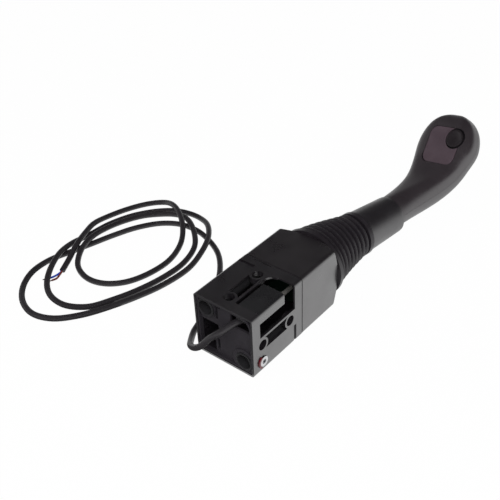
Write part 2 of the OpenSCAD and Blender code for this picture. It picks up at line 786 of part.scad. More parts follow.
module bellows() {
    n = 32;
    m = len(bell_u);
    points = concat([for (i = [0:m - 1]) each bell_ring(bell_u[i], bell_outer[i], n, 0.1 - half)],
        [for (i = [0:m - 1]) each bell_ring(bell_u[i], bell_inner[i], n, 1.1 - half)]);
    outer = [for (i = [0:m - 2], k = [0:n - 1]) let (a = i * n + k, b = i * n + (k + 1) % n)
        each [[a, b, b + n], [a, b + n, a + n]]];
    inner = [for (i = [0:m - 2], k = [0:n - 1])
        let (a = (m + i) * n + k, b = (m + i) * n + (k + 1) % n)
        each [[a, b + n, b], [a, a + n, b + n]]];
    rims = [for (k = [0:n - 1]) let (a = k, b = (k + 1) % n, q = m * n, e = (m - 1) * n)
        each [[a, a + q, b + q], [a, b + q, b], [e + a, e + b, e + b + q], [e + a, e + b + q, e + a + q]]];
    color("#1f1e20") lying() polyhedron(points = points, faces = concat(outer, inner, rims));
}

/* Handle sleeve: turned, tapering, with the groove that the bellows grips */
seat_r = sleeve_r0 - 1.4;
module handle_sleeve() {
    s0 = sleeve_start;
    s1 = sleeve_start + sleeve_len;
    color("#29272a") at_handle() rotate([0, 90, 0]) rotate_extrude($fn = 96) polygon([
        [shaft_r + touch, s0], [seat_r, s0], [seat_r, s0 + 2.2], [sleeve_r0 - 0.6, s0 + 2.2],
        [sleeve_r0, s0 + 3], [sleeve_r1 + 0.25, s1 - 2.6], [sleeve_r1, s1 - 0.5],
        [sleeve_r1 - 0.5, s1], [spigot_r + 0.15, s1], [spigot_r + 0.15, s1 - 7.5],
        [sleeve_r1 + 0.4 - sleeve_wall, s1 - 9], [sleeve_r0 - 0.2 - sleeve_wall, s0 + 6],
        [shaft_r + touch, s0 + 6]]);
}

module sleeve_nut() {
    color("#b9bbbd") at_shaft() difference() {
        translate([sleeve_start + 6, 0, 0]) rotate([0, 90, 0]) cylinder(h = 5, r = 9.2, $fn = 6);
        rod_x(sleeve_start, 30, shaft_r);
    }
}

/* Grip: two shells swept along a bent centre line */
spigot_r = 13.4;
grip_t0 = sleeve_start + sleeve_len;
head_foot = 11;
bend = [[grip_t0, 0], [grip_t0 + 30, 1.6], [140.6, 3.1],
    [head_t, head_w] - head_foot * [cos(head_angle), sin(head_angle)]];
bend_rings = 13;
head_rings = 13;
parting = 0.05;
straight = head_reach + head_foot;
function bezier(b, u) = let (v = 1 - u)
    v * v * v * b[0] + 3 * v * v * u * b[1] + 3 * v * u * u * b[2] + u * u * u * b[3];
function bezier_dir(b, u) = let (v = 1 - u)
    unit(v * v * (b[1] - b[0]) + 2 * v * u * (b[2] - b[1]) + u * u * (b[3] - b[2]));
function smooth(x) = let (c = max(0, min(1, x))) c * c * (3 - 2 * c);
// Station of the sweep: centre, direction, far and near half width, front and back depth, squareness
function bend_station(u) =
    [bezier(bend, u), u == 0 ? [1, 0] : bezier_dir(bend, u),
        neck_far + (head_far_w - 1 - neck_far) * pow(smooth((u - 0.13) / 0.95), 1.5),
        neck_near + (head_near_w - 3.5 - neck_near) * smooth((u - 0.15) / 1.02),
        neck_front + (head_front - neck_front) * smooth(u),
        neck_back + (head_back - neck_back) * smooth(u) + 0.6 * pow(sin(180 * u), 2),
        2 + 3 * smooth(u * 1.1)];
bend_end = bend_station(1);
// Width of the head at the distance e from the bend: it grows for a while, then rounds off
function head_width(start, full, e, turn, power) =
    let (g = max(0, (e - turn) / (straight - turn)))
    (start + (full - start) * sin(90 * min(1, e / (turn + 1)))) * sqrt(max(0, 1 - pow(g, power)));
function head_station(e) =
    let (dir = [cos(head_angle), sin(head_angle)], f = e / straight)
    [bend[3] + e * dir, dir, head_width(bend_end[2], head_far_w, e, 9.5, 2.24),
        head_width(bend_end[3], head_near_w, e, 10.7, 2.1),
        head_front * sqrt(max(0, 1 - pow(f, 7))), head_back * sqrt(max(0, 1 - pow(f, 3.6))), 5];
stations = concat(
    [for (i = [0:bend_rings]) bend_station(i / bend_rings)],
    [for (i = [1:head_rings - 1]) head_station(straight * sin(90 * i / head_rings))],
    [head_station(straight * 0.9985)]);

// One shell: side is 1 for the front and -1 for the back
function arc_point(st, a, side, far, near, d) =
    let (n = side > 0 ? st[6] : 2 + 0.2 * (st[6] - 2), c = cos(a), s = sin(a), q = 2 / n,
        y = (c > 0 ? far : near) * sign(c) * pow(abs(c), q),
        z = side * (parting + d * pow(abs(s), q)), normal = [-st[1][1], st[1][0]])
    [st[0][0] + z * normal[0], y, st[0][1] + z * normal[1]];
function shell_ring(st, side, arc, far, near, d) = concat(
    [for (k = [0:arc]) arc_point(st, 180 * k / arc, side, st[2], st[3], side > 0 ? st[4] : st[5])],
    [for (k = [arc:-1:0]) arc_point(st, 180 * k / arc, side, far, near, d)]);
function inner_depth(st, side, f) =
    (((side > 0) ? st[4] : st[5]) - grip_wall) * (f < 1 ? sqrt(1 - pow(f, 3)) : 0);
function inner_width(w, e) = max(0.3, (w - grip_wall) * (e < 1 ? 1 : 0.6));
spigot_in = neck_back - grip_wall;
module grip_shell(side) {
    arc = 14;
    count = 2 * arc + 2;
    m = len(stations);
    spigot = [for (t = [grip_t0 - 6, grip_t0])
        [[t, 0], [1, 0], spigot_r, spigot_r, spigot_r, spigot_r, 2]];
    rings = concat(
        [for (st = spigot) shell_ring(st, side, arc, spigot_in, spigot_in, spigot_in)],
        [for (i = [0:m - 1])
            let (st = stations[i], past = i - bend_rings,
                e = past > 0 ? sin(90 * past / head_rings) * 1.1 : 0)
            i < 2 ? shell_ring(st, side, arc, spigot_in, spigot_in, spigot_in)
                : shell_ring(st, side, arc, inner_width(st[2], e), inner_width(st[3], e),
                    max(0, inner_depth(st, side, e)))]);
    total = len(rings);
    points = [for (r = rings) each r];
    walls = [for (i = [0:total - 2], k = [0:count - 1])
        let (a = i * count + k, b = i * count + (k + 1) % count)
        each side < 0 ? [[a, b, b + count], [a, b + count, a + count]]
            : [[a, b + count, b], [a, a + count, b + count]]];
    low = [for (k = [0:arc - 1]) each side < 0
        ? [[k, 2 * arc + 1 - k, k + 1], [k + 1, 2 * arc + 1 - k, 2 * arc - k]]
        : [[k, k + 1, 2 * arc + 1 - k], [k + 1, 2 * arc - k, 2 * arc + 1 - k]]];
    top = (total - 1) * count;
    high = [for (k = [0:arc - 1]) each side < 0
        ? [[top + k, top + k + 1, top + 2 * arc + 1 - k],
            [top + k + 1, top + 2 * arc - k, top + 2 * arc + 1 - k]]
        : [[top + k, top + 2 * arc + 1 - k, top + k + 1],
            [top + k + 1, top + 2 * arc + 1 - k, top + 2 * arc - k]]];
    polyhedron(points = points, faces = concat(walls, low, high));
}

boss_neck_back = neck_back - grip_wall + 1.2;
boss_neck_front = neck_front - grip_wall + 0.5;
boss_head = 9.5;
screw_seat = 6;
neck_screw_t = 101;
head_screw = [21, 7];
module at_neck_screw() {
    translate([neck_screw_t, 0, 1.1]) children();
}
module at_head_screw() {
    translate([head_t, 0, head_w]) rotate([0, -head_angle, 0])
        translate([head_screw[0], head_screw[1], 0]) children();
}
module at_grip_screws() {
    at_neck_screw() children();
    at_head_screw() children();
}

module grip_rear() {
    color("#2c282b") at_handle() difference() {
        union() {
            grip_shell(-1);
            at_neck_screw() translate([0, 0, -parting - boss_neck_back])
                cylinder(h = boss_neck_back, r = 4.2);
            at_head_screw() translate([0, 0, -parting - boss_head]) cylinder(h = boss_head, r = 4.2);
        }
        at_grip_screws() translate([0, 0, -20]) cylinder(h = 21, r = 1.6);
        at_grip_screws() translate([0, 0, -30]) cylinder(h = 30 - screw_seat, r = 3);
    }
}

module grip_front() {
    color("#332c30") at_handle() difference() {
        union() {
            grip_shell(1);
            at_neck_screw() translate([0, 0, parting]) cylinder(h = boss_neck_front, r = 3.4);
            at_head_screw() translate([0, 0, parting]) cylinder(h = boss_head, r = 3.4);
        }
        at_grip_screws() translate([0, 0, -1]) cylinder(h = 7, r = 1.3);
        translate([head_t, 0, head_w]) rotate([0, -head_angle, 0]) {
            translate([0, 0, panel_z]) linear_extrude(20) panel_outline(0.35);
            translate([button_x, button_y, 1]) cylinder(h = 20, r = bezel_r + 0.1);
        }
    }
}

module grip_screws() {
    color("#9a9c9f") at_handle() at_grip_screws() {
        translate([0, 0, -screw_seat - 2.4]) difference() {
            cylinder(h = 2.4, r = 2.8);
            translate([0, 0, -1]) cylinder(h = 2.2, r = 1.3, $fn = 6);
        }
        translate([0, 0, -screw_seat - touch]) cylinder(h = screw_seat + 5, r = 1.3);
    }
}

/* Finger panel and push button */
panel_z = 10.6;
panel_t = 1.8;
bezel_r = button_r + button_gap + bezel_wall;
module panel_outline(grow) {
    round_rect(-15.5 - grow, 18 + grow, -18.5 - grow, 14.5 + grow, 7);
}

module finger_panel() {
    color("#3b3236") at_head() translate([0, 0, panel_z]) difference() {
        linear_extrude(panel_t) panel_outline(0);
        translate([button_x, button_y, -1]) cylinder(h = 5, r = bezel_r + 0.15);
    }
}

bezel_floor = 2;
module button_housing() {
    color("#232124") at_head() translate([button_x, button_y, 0]) {
        difference() {
            translate([0, 0, bezel_floor])
                cylinder(h = panel_z + panel_t - bezel_floor - 0.7, r = bezel_r);
            translate([0, 0, bezel_floor + 1.2]) cylinder(h = 20, r = button_r + button_gap);
            translate([0, 0, bezel_floor - 1]) cylinder(h = 5, r = 3.2);
        }
        for (s = [1, -1]) translate([-3, s * 4.05 - 0.8, -5.5]) cube([6, 1.6, 7.7]);
    }
}

cap_top = 13.4;
module push_button() {
    color("#2d2a2c") at_head() translate([button_x, button_y, 0]) {
        difference() {
            translate([0, 0, 6.2]) cylinder(h = cap_top - 6.2, r = button_r);
            translate([0, 0, 5.2]) cylinder(h = 5.2, r = 6.6);
            translate([0, 0, cap_top + 33.4]) sphere(r = 34, $fn = 96);
        }
        translate([0, 0, 1.3]) cylinder(h = 9.3, r = 2);
    }
}

module button_spring() {
    color("#c9cbcd") at_head() translate([button_x, button_y, 0]) rotate([0, -90, 0])
        coil(bezel_floor + 1.2 + 0.6, 9.8, 4.6, 0.5, 4, 12);
}

module button_switch() {
    color("#151517") at_head() translate([button_x, button_y, 0]) {
        translate([-5, -3, -6.6]) cube([10, 6, 4.2]);
        translate([0, 0, -2.4 - touch]) cylinder(h = 1.7, r = 1.2);
    }
}

// Two thin leads from the switch through the neck into the hollow shaft
function head_point(x, y, z) = [head_t + x * cos(head_angle) - z * sin(head_angle), y,
    head_w + x * sin(head_angle) + z * cos(head_angle)];
module switch_leads() {
    color("#8a1f1f") at_handle() for (s = [1, -1]) let (d = [0, 0.9 * s, 0])
        tube([[-3, 0, 0] + d, [30, 0, 0] + d, [62, 0, 0] + d, [80, -2, 0] + d, [92, -6.2, 0] + d,
            [112, -7, 0] + d, [128, -7, 2] + d, [142, -7.5, 6] + d, [153, -9, 12] + d,
            head_point(-9, -11, -6.5) + d, head_point(-4, button_y + 0.5, -7.6) + d,
            head_point(button_x - 8, button_y, -7.4) + d, head_point(button_x - 2, button_y, -7.2) + d],
            0.55, 8);
}

lower_housing();
end_insert();
screw_tubes();
cover();
bearing_plate();
bearing_screws();
pivot_bushes();
friction_dish();
sensor_carrier();
sensor_board();
board_parts();
board_screws();
plug_module();
cable_clamp();
cable_tie();
inner_lead();
cable();
core_blue();
core_brown();
lock_screw();
seal_lacquer();
bellows_bead();
bellows();
gimbal_ring();
gimbal_pins();
lever_shaft();
cross_pins();
friction_shoe();
shoe_spring();
sensor_magnet();
handle_sleeve();
sleeve_nut();
grip_rear();
grip_front();
grip_screws();
finger_panel();
button_housing();
button_switch();
switch_leads();
push_button();
button_spring();
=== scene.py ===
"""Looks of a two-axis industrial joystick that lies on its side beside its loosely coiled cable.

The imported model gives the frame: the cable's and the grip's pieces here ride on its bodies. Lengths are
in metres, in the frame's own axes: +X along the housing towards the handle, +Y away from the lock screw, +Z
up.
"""

import json
import logging
import math
from collections.abc import Callable
from dataclasses import dataclass, field
from enum import Enum, IntEnum

import bpy
import numpy as np
from mathutils import Matrix, Vector

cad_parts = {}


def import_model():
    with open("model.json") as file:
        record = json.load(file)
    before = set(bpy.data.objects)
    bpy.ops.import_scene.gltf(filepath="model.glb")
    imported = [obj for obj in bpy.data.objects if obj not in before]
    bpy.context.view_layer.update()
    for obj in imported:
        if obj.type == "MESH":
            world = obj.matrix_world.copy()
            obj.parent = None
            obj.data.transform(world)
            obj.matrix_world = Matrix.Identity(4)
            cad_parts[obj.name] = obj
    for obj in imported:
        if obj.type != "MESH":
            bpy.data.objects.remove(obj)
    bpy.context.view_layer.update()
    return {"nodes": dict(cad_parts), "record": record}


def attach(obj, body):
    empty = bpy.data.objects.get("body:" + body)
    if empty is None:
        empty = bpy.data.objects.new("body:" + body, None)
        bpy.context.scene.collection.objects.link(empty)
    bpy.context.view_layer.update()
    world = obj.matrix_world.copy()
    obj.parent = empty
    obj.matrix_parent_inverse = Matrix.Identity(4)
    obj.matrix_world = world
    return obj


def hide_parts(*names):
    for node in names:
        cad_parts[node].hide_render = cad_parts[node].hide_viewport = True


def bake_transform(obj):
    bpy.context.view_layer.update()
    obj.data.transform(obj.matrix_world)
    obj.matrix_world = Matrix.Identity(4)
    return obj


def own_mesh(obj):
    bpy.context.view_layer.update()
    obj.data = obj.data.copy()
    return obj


LOG = logging.getLogger("joystick")
MM = 0.001
HALF = 27.0 * MM  # half the housing's width
SHIFT = -53.0 * MM  # from the cable end to the frame's origin
PIVOT_X = 123.0  # the gimbal, in millimetres from the cable end
PIVOT = Vector((PIVOT_X * MM + SHIFT, 0.0, HALF))
LEAN = math.radians(10)
TURN = math.radians(12)
HEAD_ANGLE = math.radians(51)

MIX_SHARE, MIX_A, MIX_B = 0, 6, 7  # colour sockets of a Mix node
MIX_RESULT = 2

Rgb = tuple[float, float, float]
Point = tuple[float, float, float]
Place = Callable[[np.ndarray], np.ndarray]


class Body(str, Enum):
    """Rigid bodies of the frame."""

    HOUSING = "housing"
    GIMBAL = "gimbal"
    LEVER = "lever"


class Cut(str, Enum):
    """What a tool does to a shell."""

    JOIN = "UNION"
    TAKE = "DIFFERENCE"


class Side(IntEnum):
    """The two halves of the grip, by the sign of their height over the parting face."""

    FRONT = 1
    REAR = -1


# --------------------------------------------------------------------------------------------
# Shader helpers
# --------------------------------------------------------------------------------------------


class NodeTree:
    """Small typed wrapper that adds and links shader nodes."""

    def __init__(self, tree: bpy.types.NodeTree) -> None:
        """Keeps the node tree to write into."""
        self.tree = tree

    def add(self, kind: str, **values: object) -> bpy.types.Node:
        """Adds a node.

        Args:
            kind: the node's bl_idname.
            values: properties to set, or sockets by name with spaces as underscores.

        Returns:
            The new node.
        """
        node = self.tree.nodes.new(kind)
        for key, value in values.items():
            if hasattr(node, key):
                setattr(node, key, value)
            else:
                node.inputs[key.replace("_", " ")].default_value = value
        return node

    def link(self, out: bpy.types.NodeSocket, into: bpy.types.NodeSocket) -> None:
        """Joins two sockets."""
        self.tree.links.new(out, into)

    def math(self, operation: str, a: object, b: object = None) -> bpy.types.NodeSocket:
        """Adds a math node.

        Args:
            operation: the node's operation.
            a: first socket or number.
            b: second socket or number, if the operation takes one.

        Returns:
            The result's socket.
        """
        node = self.add("ShaderNodeMath", operation=operation)
        for index, value in enumerate((a, b)):
            if isinstance(value, bpy.types.NodeSocket):
                self.link(value, node.inputs[index])
            elif value is not None:
                node.inputs[index].default_value = value
        return node.outputs[0]


def new_group(name: str, inputs: dict[str, float], outputs: dict[str, str]) -> bpy.types.NodeTree:
    """Makes an empty shader group with number inputs.

    Args:
        name: the group's name.
        inputs: name to default value.
        outputs: name to socket type.

    Returns:
        The group's tree.
    """
    tree = bpy.data.node_groups.new(name, "ShaderNodeTree")
    for key, value in inputs.items():
        socket = tree.interface.new_socket(key, in_out="INPUT", socket_type="NodeSocketFloat")
        socket.default_value = value
    for key, kind in outputs.items():
        tree.interface.new_socket(key, in_out="OUTPUT", socket_type=kind)
    tree.nodes.new("NodeGroupInput")
    tree.nodes.new("NodeGroupOutput")
    return tree


class SurfaceGroups:
    """Shared effects, each built once: grain, wear patches, and dust."""

    def __init__(self) -> None:
        """Builds the groups."""
        self.grain = self._grain()
        self.patches = self._patches()
        self.dust = self._dust()

    @staticmethod
    def _ends(tree: bpy.types.NodeTree) -> tuple[NodeTree, bpy.types.Node, bpy.types.Node]:
        """The wrapper, input node and output node of a group."""
        kinds = {n.bl_idname: n for n in tree.nodes}
        return NodeTree(tree), kinds["NodeGroupInput"], kinds["NodeGroupOutput"]

    def _grain(self) -> bpy.types.NodeTree:
        """Rounded edges and fine moulded grain, as a normal."""
        tree = new_group(
            "MouldedGrain",
            {"Scale": 2600.0, "Depth": 0.00002, "Strength": 0.3, "Edge": 0.0004},
            {"Normal": "NodeSocketVector", "Height": "NodeSocketFloat"},
        )
        nt, gin, gout = self._ends(tree)
        place = nt.add("ShaderNodeTexCoord")
        noise = nt.add("ShaderNodeTexNoise", Detail=3.0, Roughness=0.55)
        bevel = nt.add("ShaderNodeBevel", samples=4)
        bump = nt.add("ShaderNodeBump")
        nt.link(place.outputs["Object"], noise.inputs["Vector"])
        nt.link(gin.outputs["Scale"], noise.inputs["Scale"])
        nt.link(gin.outputs["Edge"], bevel.inputs["Radius"])
        nt.link(gin.outputs["Depth"], bump.inputs["Distance"])
        nt.link(gin.outputs["Strength"], bump.inputs["Strength"])
        nt.link(noise.outputs["Fac"], bump.inputs["Height"])
        nt.link(bevel.outputs["Normal"], bump.inputs["Normal"])
        nt.link(bump.outputs["Normal"], gout.inputs["Normal"])
        nt.link(noise.outputs["Fac"], gout.inputs["Height"])
        return tree

    def _patches(self) -> bpy.types.NodeTree:
        """Slow variation from handling, 0 to 1."""
        tree = new_group("HandlingPatches", {"Scale": 45.0}, {"Mask": "NodeSocketFloat"})
        nt, gin, gout = self._ends(tree)
        place = nt.add("ShaderNodeTexCoord")
        noise = nt.add("ShaderNodeTexNoise", Detail=4.0, Roughness=0.6, Distortion=0.4)
        span = nt.add("ShaderNodeMapRange", From_Min=0.35, From_Max=0.68)
        nt.link(place.outputs["Object"], noise.inputs["Vector"])
        nt.link(gin.outputs["Scale"], noise.inputs["Scale"])
        nt.link(noise.outputs["Fac"], span.inputs["Value"])
        nt.link(span.outputs["Result"], gout.inputs["Mask"])
        return tree

    def _dust(self) -> bpy.types.NodeTree:
        """Specks and lint that settle on faces that look up, 0 to 1."""
        tree = new_group("SettledDust", {"Scale": 900.0, "Amount": 0.12}, {"Mask": "NodeSocketFloat"})
        nt, gin, gout = self._ends(tree)
        place = nt.add("ShaderNodeTexCoord")
        cells = nt.add("ShaderNodeTexVoronoi")
        speck = nt.add("ShaderNodeMapRange", From_Min=0.16, From_Max=0.06)
        facing = nt.add("ShaderNodeSeparateXYZ")
        geometry = nt.add("ShaderNodeNewGeometry")
        nt.link(place.outputs["Object"], cells.inputs["Vector"])
        nt.link(gin.outputs["Scale"], cells.inputs["Scale"])
        nt.link(cells.outputs["Distance"], speck.inputs["Value"])
        nt.link(geometry.outputs["Normal"], facing.inputs["Vector"])
        up = nt.math("MAXIMUM", facing.outputs["Z"], 0.0)
        mask = nt.math("MULTIPLY", speck.outputs["Result"], up)
        amount = nt.math("MULTIPLY", mask, gin.outputs["Amount"])
        nt.link(amount, gout.inputs["Mask"])
        return tree


LINT: Rgb = (0.42, 0.40, 0.37)


@dataclass(frozen=True)
class Finish:
    """One surface finish. Lengths are in metres."""

    name: str
    color: Rgb
    rough: float = 0.4
    rough_spread: float = 0.06
    metallic: float = 0.0
    specular: float = 0.5
    ior: float = 1.5
    grain_scale: float = 2600.0
    grain_depth: float = 0.00003
    grain: float = 0.25
    edge: float = 0.0004
    worn: Rgb | None = None
    dust: float = 0.0
    coat: float = 0.0

    def build(self, groups: SurfaceGroups) -> bpy.types.Material:
        """Makes the material.

        Args:
            groups: the shared effect groups.

        Returns:
            A procedural material.
        """
        material = bpy.data.materials.new(self.name)
        material.use_nodes = True
        nt = NodeTree(material.node_tree)
        shader = material.node_tree.nodes["Principled BSDF"]
        grain = nt.add("ShaderNodeGroup", node_tree=groups.grain)
        grain.inputs["Scale"].default_value = self.grain_scale
        grain.inputs["Depth"].default_value = self.grain_depth
        grain.inputs["Strength"].default_value = self.grain
        grain.inputs["Edge"].default_value = self.edge
        patches = nt.add("ShaderNodeGroup", node_tree=groups.patches)
        rough = nt.add("ShaderNodeMapRange")
        rough.inputs["To Min"].default_value = max(0.02, self.rough - self.rough_spread)
        rough.inputs["To Max"].default_value = min(1.0, self.rough + self.rough_spread)
        nt.link(patches.outputs["Mask"], rough.inputs["Value"])
        nt.link(rough.outputs["Result"], shader.inputs["Roughness"])
        nt.link(grain.outputs["Normal"], shader.inputs["Normal"])
        mix = nt.add("ShaderNodeMix", data_type="RGBA")
        mix.inputs[MIX_A].default_value = (*self.color, 1.0)
        worn = self.worn or tuple(min(1.0, c * 1.25 + 0.002) for c in self.color)
        mix.inputs[MIX_B].default_value = (*worn, 1.0)
        nt.link(patches.outputs["Mask"], mix.inputs[MIX_SHARE])
        color = mix.outputs[MIX_RESULT]
        if self.dust:
            dust = nt.add("ShaderNodeGroup", node_tree=groups.dust)
            dust.inputs["Amount"].default_value = self.dust
            over = nt.add("ShaderNodeMix", data_type="RGBA")
            over.inputs[MIX_B].default_value = (*LINT, 1.0)
            nt.link(dust.outputs["Mask"], over.inputs[MIX_SHARE])
            nt.link(color, over.inputs[MIX_A])
            color = over.outputs[MIX_RESULT]
        nt.link(color, shader.inputs["Base Color"])
        shader.inputs["Metallic"].default_value = self.metallic
        shader.inputs["IOR"].default_value = self.ior
        shader.inputs["Specular IOR Level"].default_value = self.specular
        shader.inputs["Coat Weight"].default_value = self.coat
        shader.inputs["Coat Roughness"].default_value = 0.25
        return material


FINISHES: dict[str, Finish] = {
    f.name: f
    for f in (
        Finish("housing", (0.0085, 0.0070, 0.0090), rough=0.33, ior=1.7, specular=1.0, coat=0.4,
               grain=0.05, edge=0.0002, dust=0.05),
        Finish("insert", (0.030, 0.026, 0.0320), rough=0.55, specular=0.25, grain=0.12, dust=0.04),
        Finish("cover", (0.0095, 0.0074, 0.0094), rough=0.33, ior=1.7, specular=1.0, coat=0.4,
               grain=0.05, edge=0.0002, dust=0.05),
        Finish("die_cast", (0.42, 0.42, 0.44), rough=0.5, metallic=1.0, grain=0.4),
        Finish("steel", (0.55, 0.55, 0.56), rough=0.18, metallic=1.0, grain=0.06, edge=0.0002),
        Finish("brass", (0.69, 0.50, 0.25), rough=0.35, metallic=1.0, grain=0.1),
        Finish("dish", (0.66, 0.62, 0.54), rough=0.4),
        Finish("board", (0.004, 0.012, 0.007), rough=0.4, worn=(0.005, 0.015, 0.009)),
        Finish("chip", (0.014, 0.014, 0.015), rough=0.5),
        Finish("module", (0.0065, 0.0062, 0.0075), rough=0.25, ior=1.7, specular=0.9, coat=0.6,
               grain=0.08, edge=0.0002),
        Finish("tie", (0.012, 0.012, 0.013), rough=0.45),
        Finish("lead_wrap", (0.17, 0.165, 0.155), rough=0.7),
        Finish("cable", (0.0170, 0.0150, 0.0175), rough=0.42, ior=1.55, grain=0.08, dust=0.04),
        Finish("core_blue", (0.012, 0.055, 0.42), rough=0.35, edge=0.0001),
        Finish("core_brown", (0.13, 0.022, 0.014), rough=0.35, edge=0.0001),
        Finish("core_red", (0.26, 0.02, 0.02), rough=0.35, edge=0.0001),
        Finish("lacquer", (0.10, 0.002, 0.007), rough=0.30, coat=0.2, edge=0.0002),
        Finish("bellows", (0.0150, 0.0126, 0.0155), rough=0.36, ior=1.5, grain=0.20, grain_scale=1500.0,
               edge=0.0002, dust=0.08),
        Finish("gimbal", (0.5, 0.51, 0.53), rough=0.3, metallic=1.0),
        Finish("shoe", (0.50, 0.30, 0.14), rough=0.35, metallic=1.0),
        Finish("magnet", (0.75, 0.76, 0.78), rough=0.12, metallic=1.0),
        Finish("sleeve", (0.0082, 0.0062, 0.0086), rough=0.42, ior=1.7, specular=1.0, grain=0.12,
               edge=0.0002),
        Finish("grip_rear", (0.0150, 0.0108, 0.0138), rough=0.42, ior=1.7, specular=1.0, grain=0.25,
               edge=0.0002, dust=0.06),
        # grip_front and panel are lighter than grip_rear: painted light that brightens the head's face, on
        # top of their own pinkish tone
        Finish("grip_front", (0.0225, 0.0170, 0.0206), rough=0.42, ior=1.65, specular=0.9, grain=0.25,
               edge=0.0002, dust=0.06),
        Finish("panel", (0.0600, 0.0410, 0.0515), rough=0.40, ior=1.6, grain=0.25,
               edge=0.0002, dust=0.06),
        Finish("tube_steel", (0.016, 0.0155, 0.0170), rough=0.5, specular=0.3, grain=0.1),
        Finish("light_alloy", (0.62, 0.63, 0.65), rough=0.3, metallic=1.0, grain=0.1),
        Finish("insert_cast", (0.0220, 0.0195, 0.0235), rough=0.62, specular=0.2, grain=0.25),
        Finish("bezel", (0.0045, 0.0040, 0.0050), rough=0.30, specular=0.4, grain=0.1),
        Finish("button", (0.0150, 0.0118, 0.0138), rough=0.34, ior=1.6, grain=0.15),
        Finish("copper", (0.72, 0.36, 0.20), rough=0.3, metallic=1.0, edge=0.0001),
    )
}


class Library:
    """Materials by finish name, each built when first asked for."""

    def __init__(self) -> None:
        """Builds the shared groups."""
        self.groups = SurfaceGroups()
        self.made: dict[str, bpy.types.Material] = {}

    def get(self, name: str) -> bpy.types.Material:
        """The material of a finish."""
        if name not in self.made:
            self.made[name] = FINISHES[name].build(self.groups)
        return self.made[name]

    def paint(self, obj: bpy.types.Object, name: str) -> bpy.types.Object:
        """Gives the whole object one finish."""
        obj.data.materials.clear()
        obj.data.materials.append(self.get(name))
        return obj


# --------------------------------------------------------------------------------------------
# Mesh helpers
# --------------------------------------------------------------------------------------------


def mesh_object(name: str, verts: np.ndarray, faces: list[tuple[int, ...]],
                sharp: float = 40.0) -> bpy.types.Object:
    """Makes a smooth-shaded mesh object at the origin.

    Args:
        name: the piece's name.
        verts: points in the row frame.
        faces: lists of point numbers, anticlockwise from outside.
        sharp: edges steeper than this angle in degrees stay sharp.

    Returns:
        The linked object.
    """
    mesh = bpy.data.meshes.new(name)
    mesh.from_pydata([tuple(map(float, v)) for v in verts], [], faces)
    mesh.validate()
    mesh.shade_smooth()
    mesh.set_sharp_from_angle(angle=math.radians(sharp))
    obj = bpy.data.objects.new(name, mesh)
    bpy.context.scene.collection.objects.link(obj)
    return obj


def grid_faces(rows: int, count: int, first: int = 0, flip: bool = False) -> list[tuple[int, ...]]:
    """Quads between neighbouring rings, each ring closed.

    Args:
        rows: how many rings.
        count: points per ring.
        first: number of the first ring's first point.
        flip: turns the faces round.

    Returns:
        The quads' point numbers.
    """
    out = []
    for i in range(rows - 1):
        for k in range(count):
            a, b = first + i * count + k, first + i * count + (k + 1) % count
            quad = (a, b, b + count, a + count)
            out.append(quad[::-1] if flip else quad)
    return out


def spline(points: np.ndarray, per_span: int) -> np.ndarray:
    """Catmull-Rom curve through points.

    Args:
        points: at least two points.
        per_span: steps from one point to the next.

    Returns:
        Points on the curve, with both ends.
    """
    p = np.vstack([2 * points[0] - points[1], points, 2 * points[-1] - points[-2]])
    out = []
    for i in range(1, len(p) - 2):
        for t in np.linspace(0, 1, per_span, endpoint=False):
            a = 2 * p[i]
            b = (p[i + 1] - p[i - 1]) * t
            c = (2 * p[i - 1] - 5 * p[i] + 4 * p[i + 1] - p[i + 2]) * t * t
            d = (3 * p[i] - p[i - 1] - 3 * p[i + 1] + p[i + 2]) * t ** 3
            out.append(0.5 * (a + b + c + d))
    out.append(p[-2])
    return np.array(out)


def tube(name: str, path: np.ndarray, radius: float, sides: int) -> bpy.types.Object:
    """A closed round tube along a path.

    Args:
        name: the piece's name.
        path: centre points.
        radius: the tube's radius.
        sides: points per ring.

    Returns:
        The mesh object.
    """
    steps = np.gradient(path, axis=0)
    steps /= np.linalg.norm(steps, axis=1)[:, None]
    side = np.cross(steps, [0, 0, 1.0])
    side /= np.maximum(np.linalg.norm(side, axis=1), 1e-9)[:, None]
    up = np.cross(side, steps)
    angle = np.linspace(0, 2 * math.pi, sides, endpoint=False)
    rings = path[:, None] + radius * (
        np.cos(angle)[None, :, None] * side[:, None] + np.sin(angle)[None, :, None] * up[:, None]
    )
    verts = rings.reshape(-1, 3)
    faces = grid_faces(len(path), sides, flip=True)
    faces.append(tuple(range(sides)))
    faces.append(tuple(len(verts) - 1 - k for k in range(sides)))
    return mesh_object(name, verts, faces, sharp=50)


def finished_mesh(obj: bpy.types.Object, sharp: float) -> bpy.types.Object:
    """Turns what the modifiers make into a plain mesh and takes them off.

    Args:
        obj: an object with modifiers.
        sharp: edges steeper than this angle in degrees stay sharp.

    Returns:
        The same object.
    """
    seen = obj.evaluated_get(bpy.context.evaluated_depsgraph_get())
    mesh = bpy.data.meshes.new_from_object(seen)
    obj.modifiers.clear()
    obj.data = mesh
    mesh.name = obj.name
    mesh.shade_smooth()
    mesh.set_sharp_from_angle(angle=math.radians(sharp))
    return obj


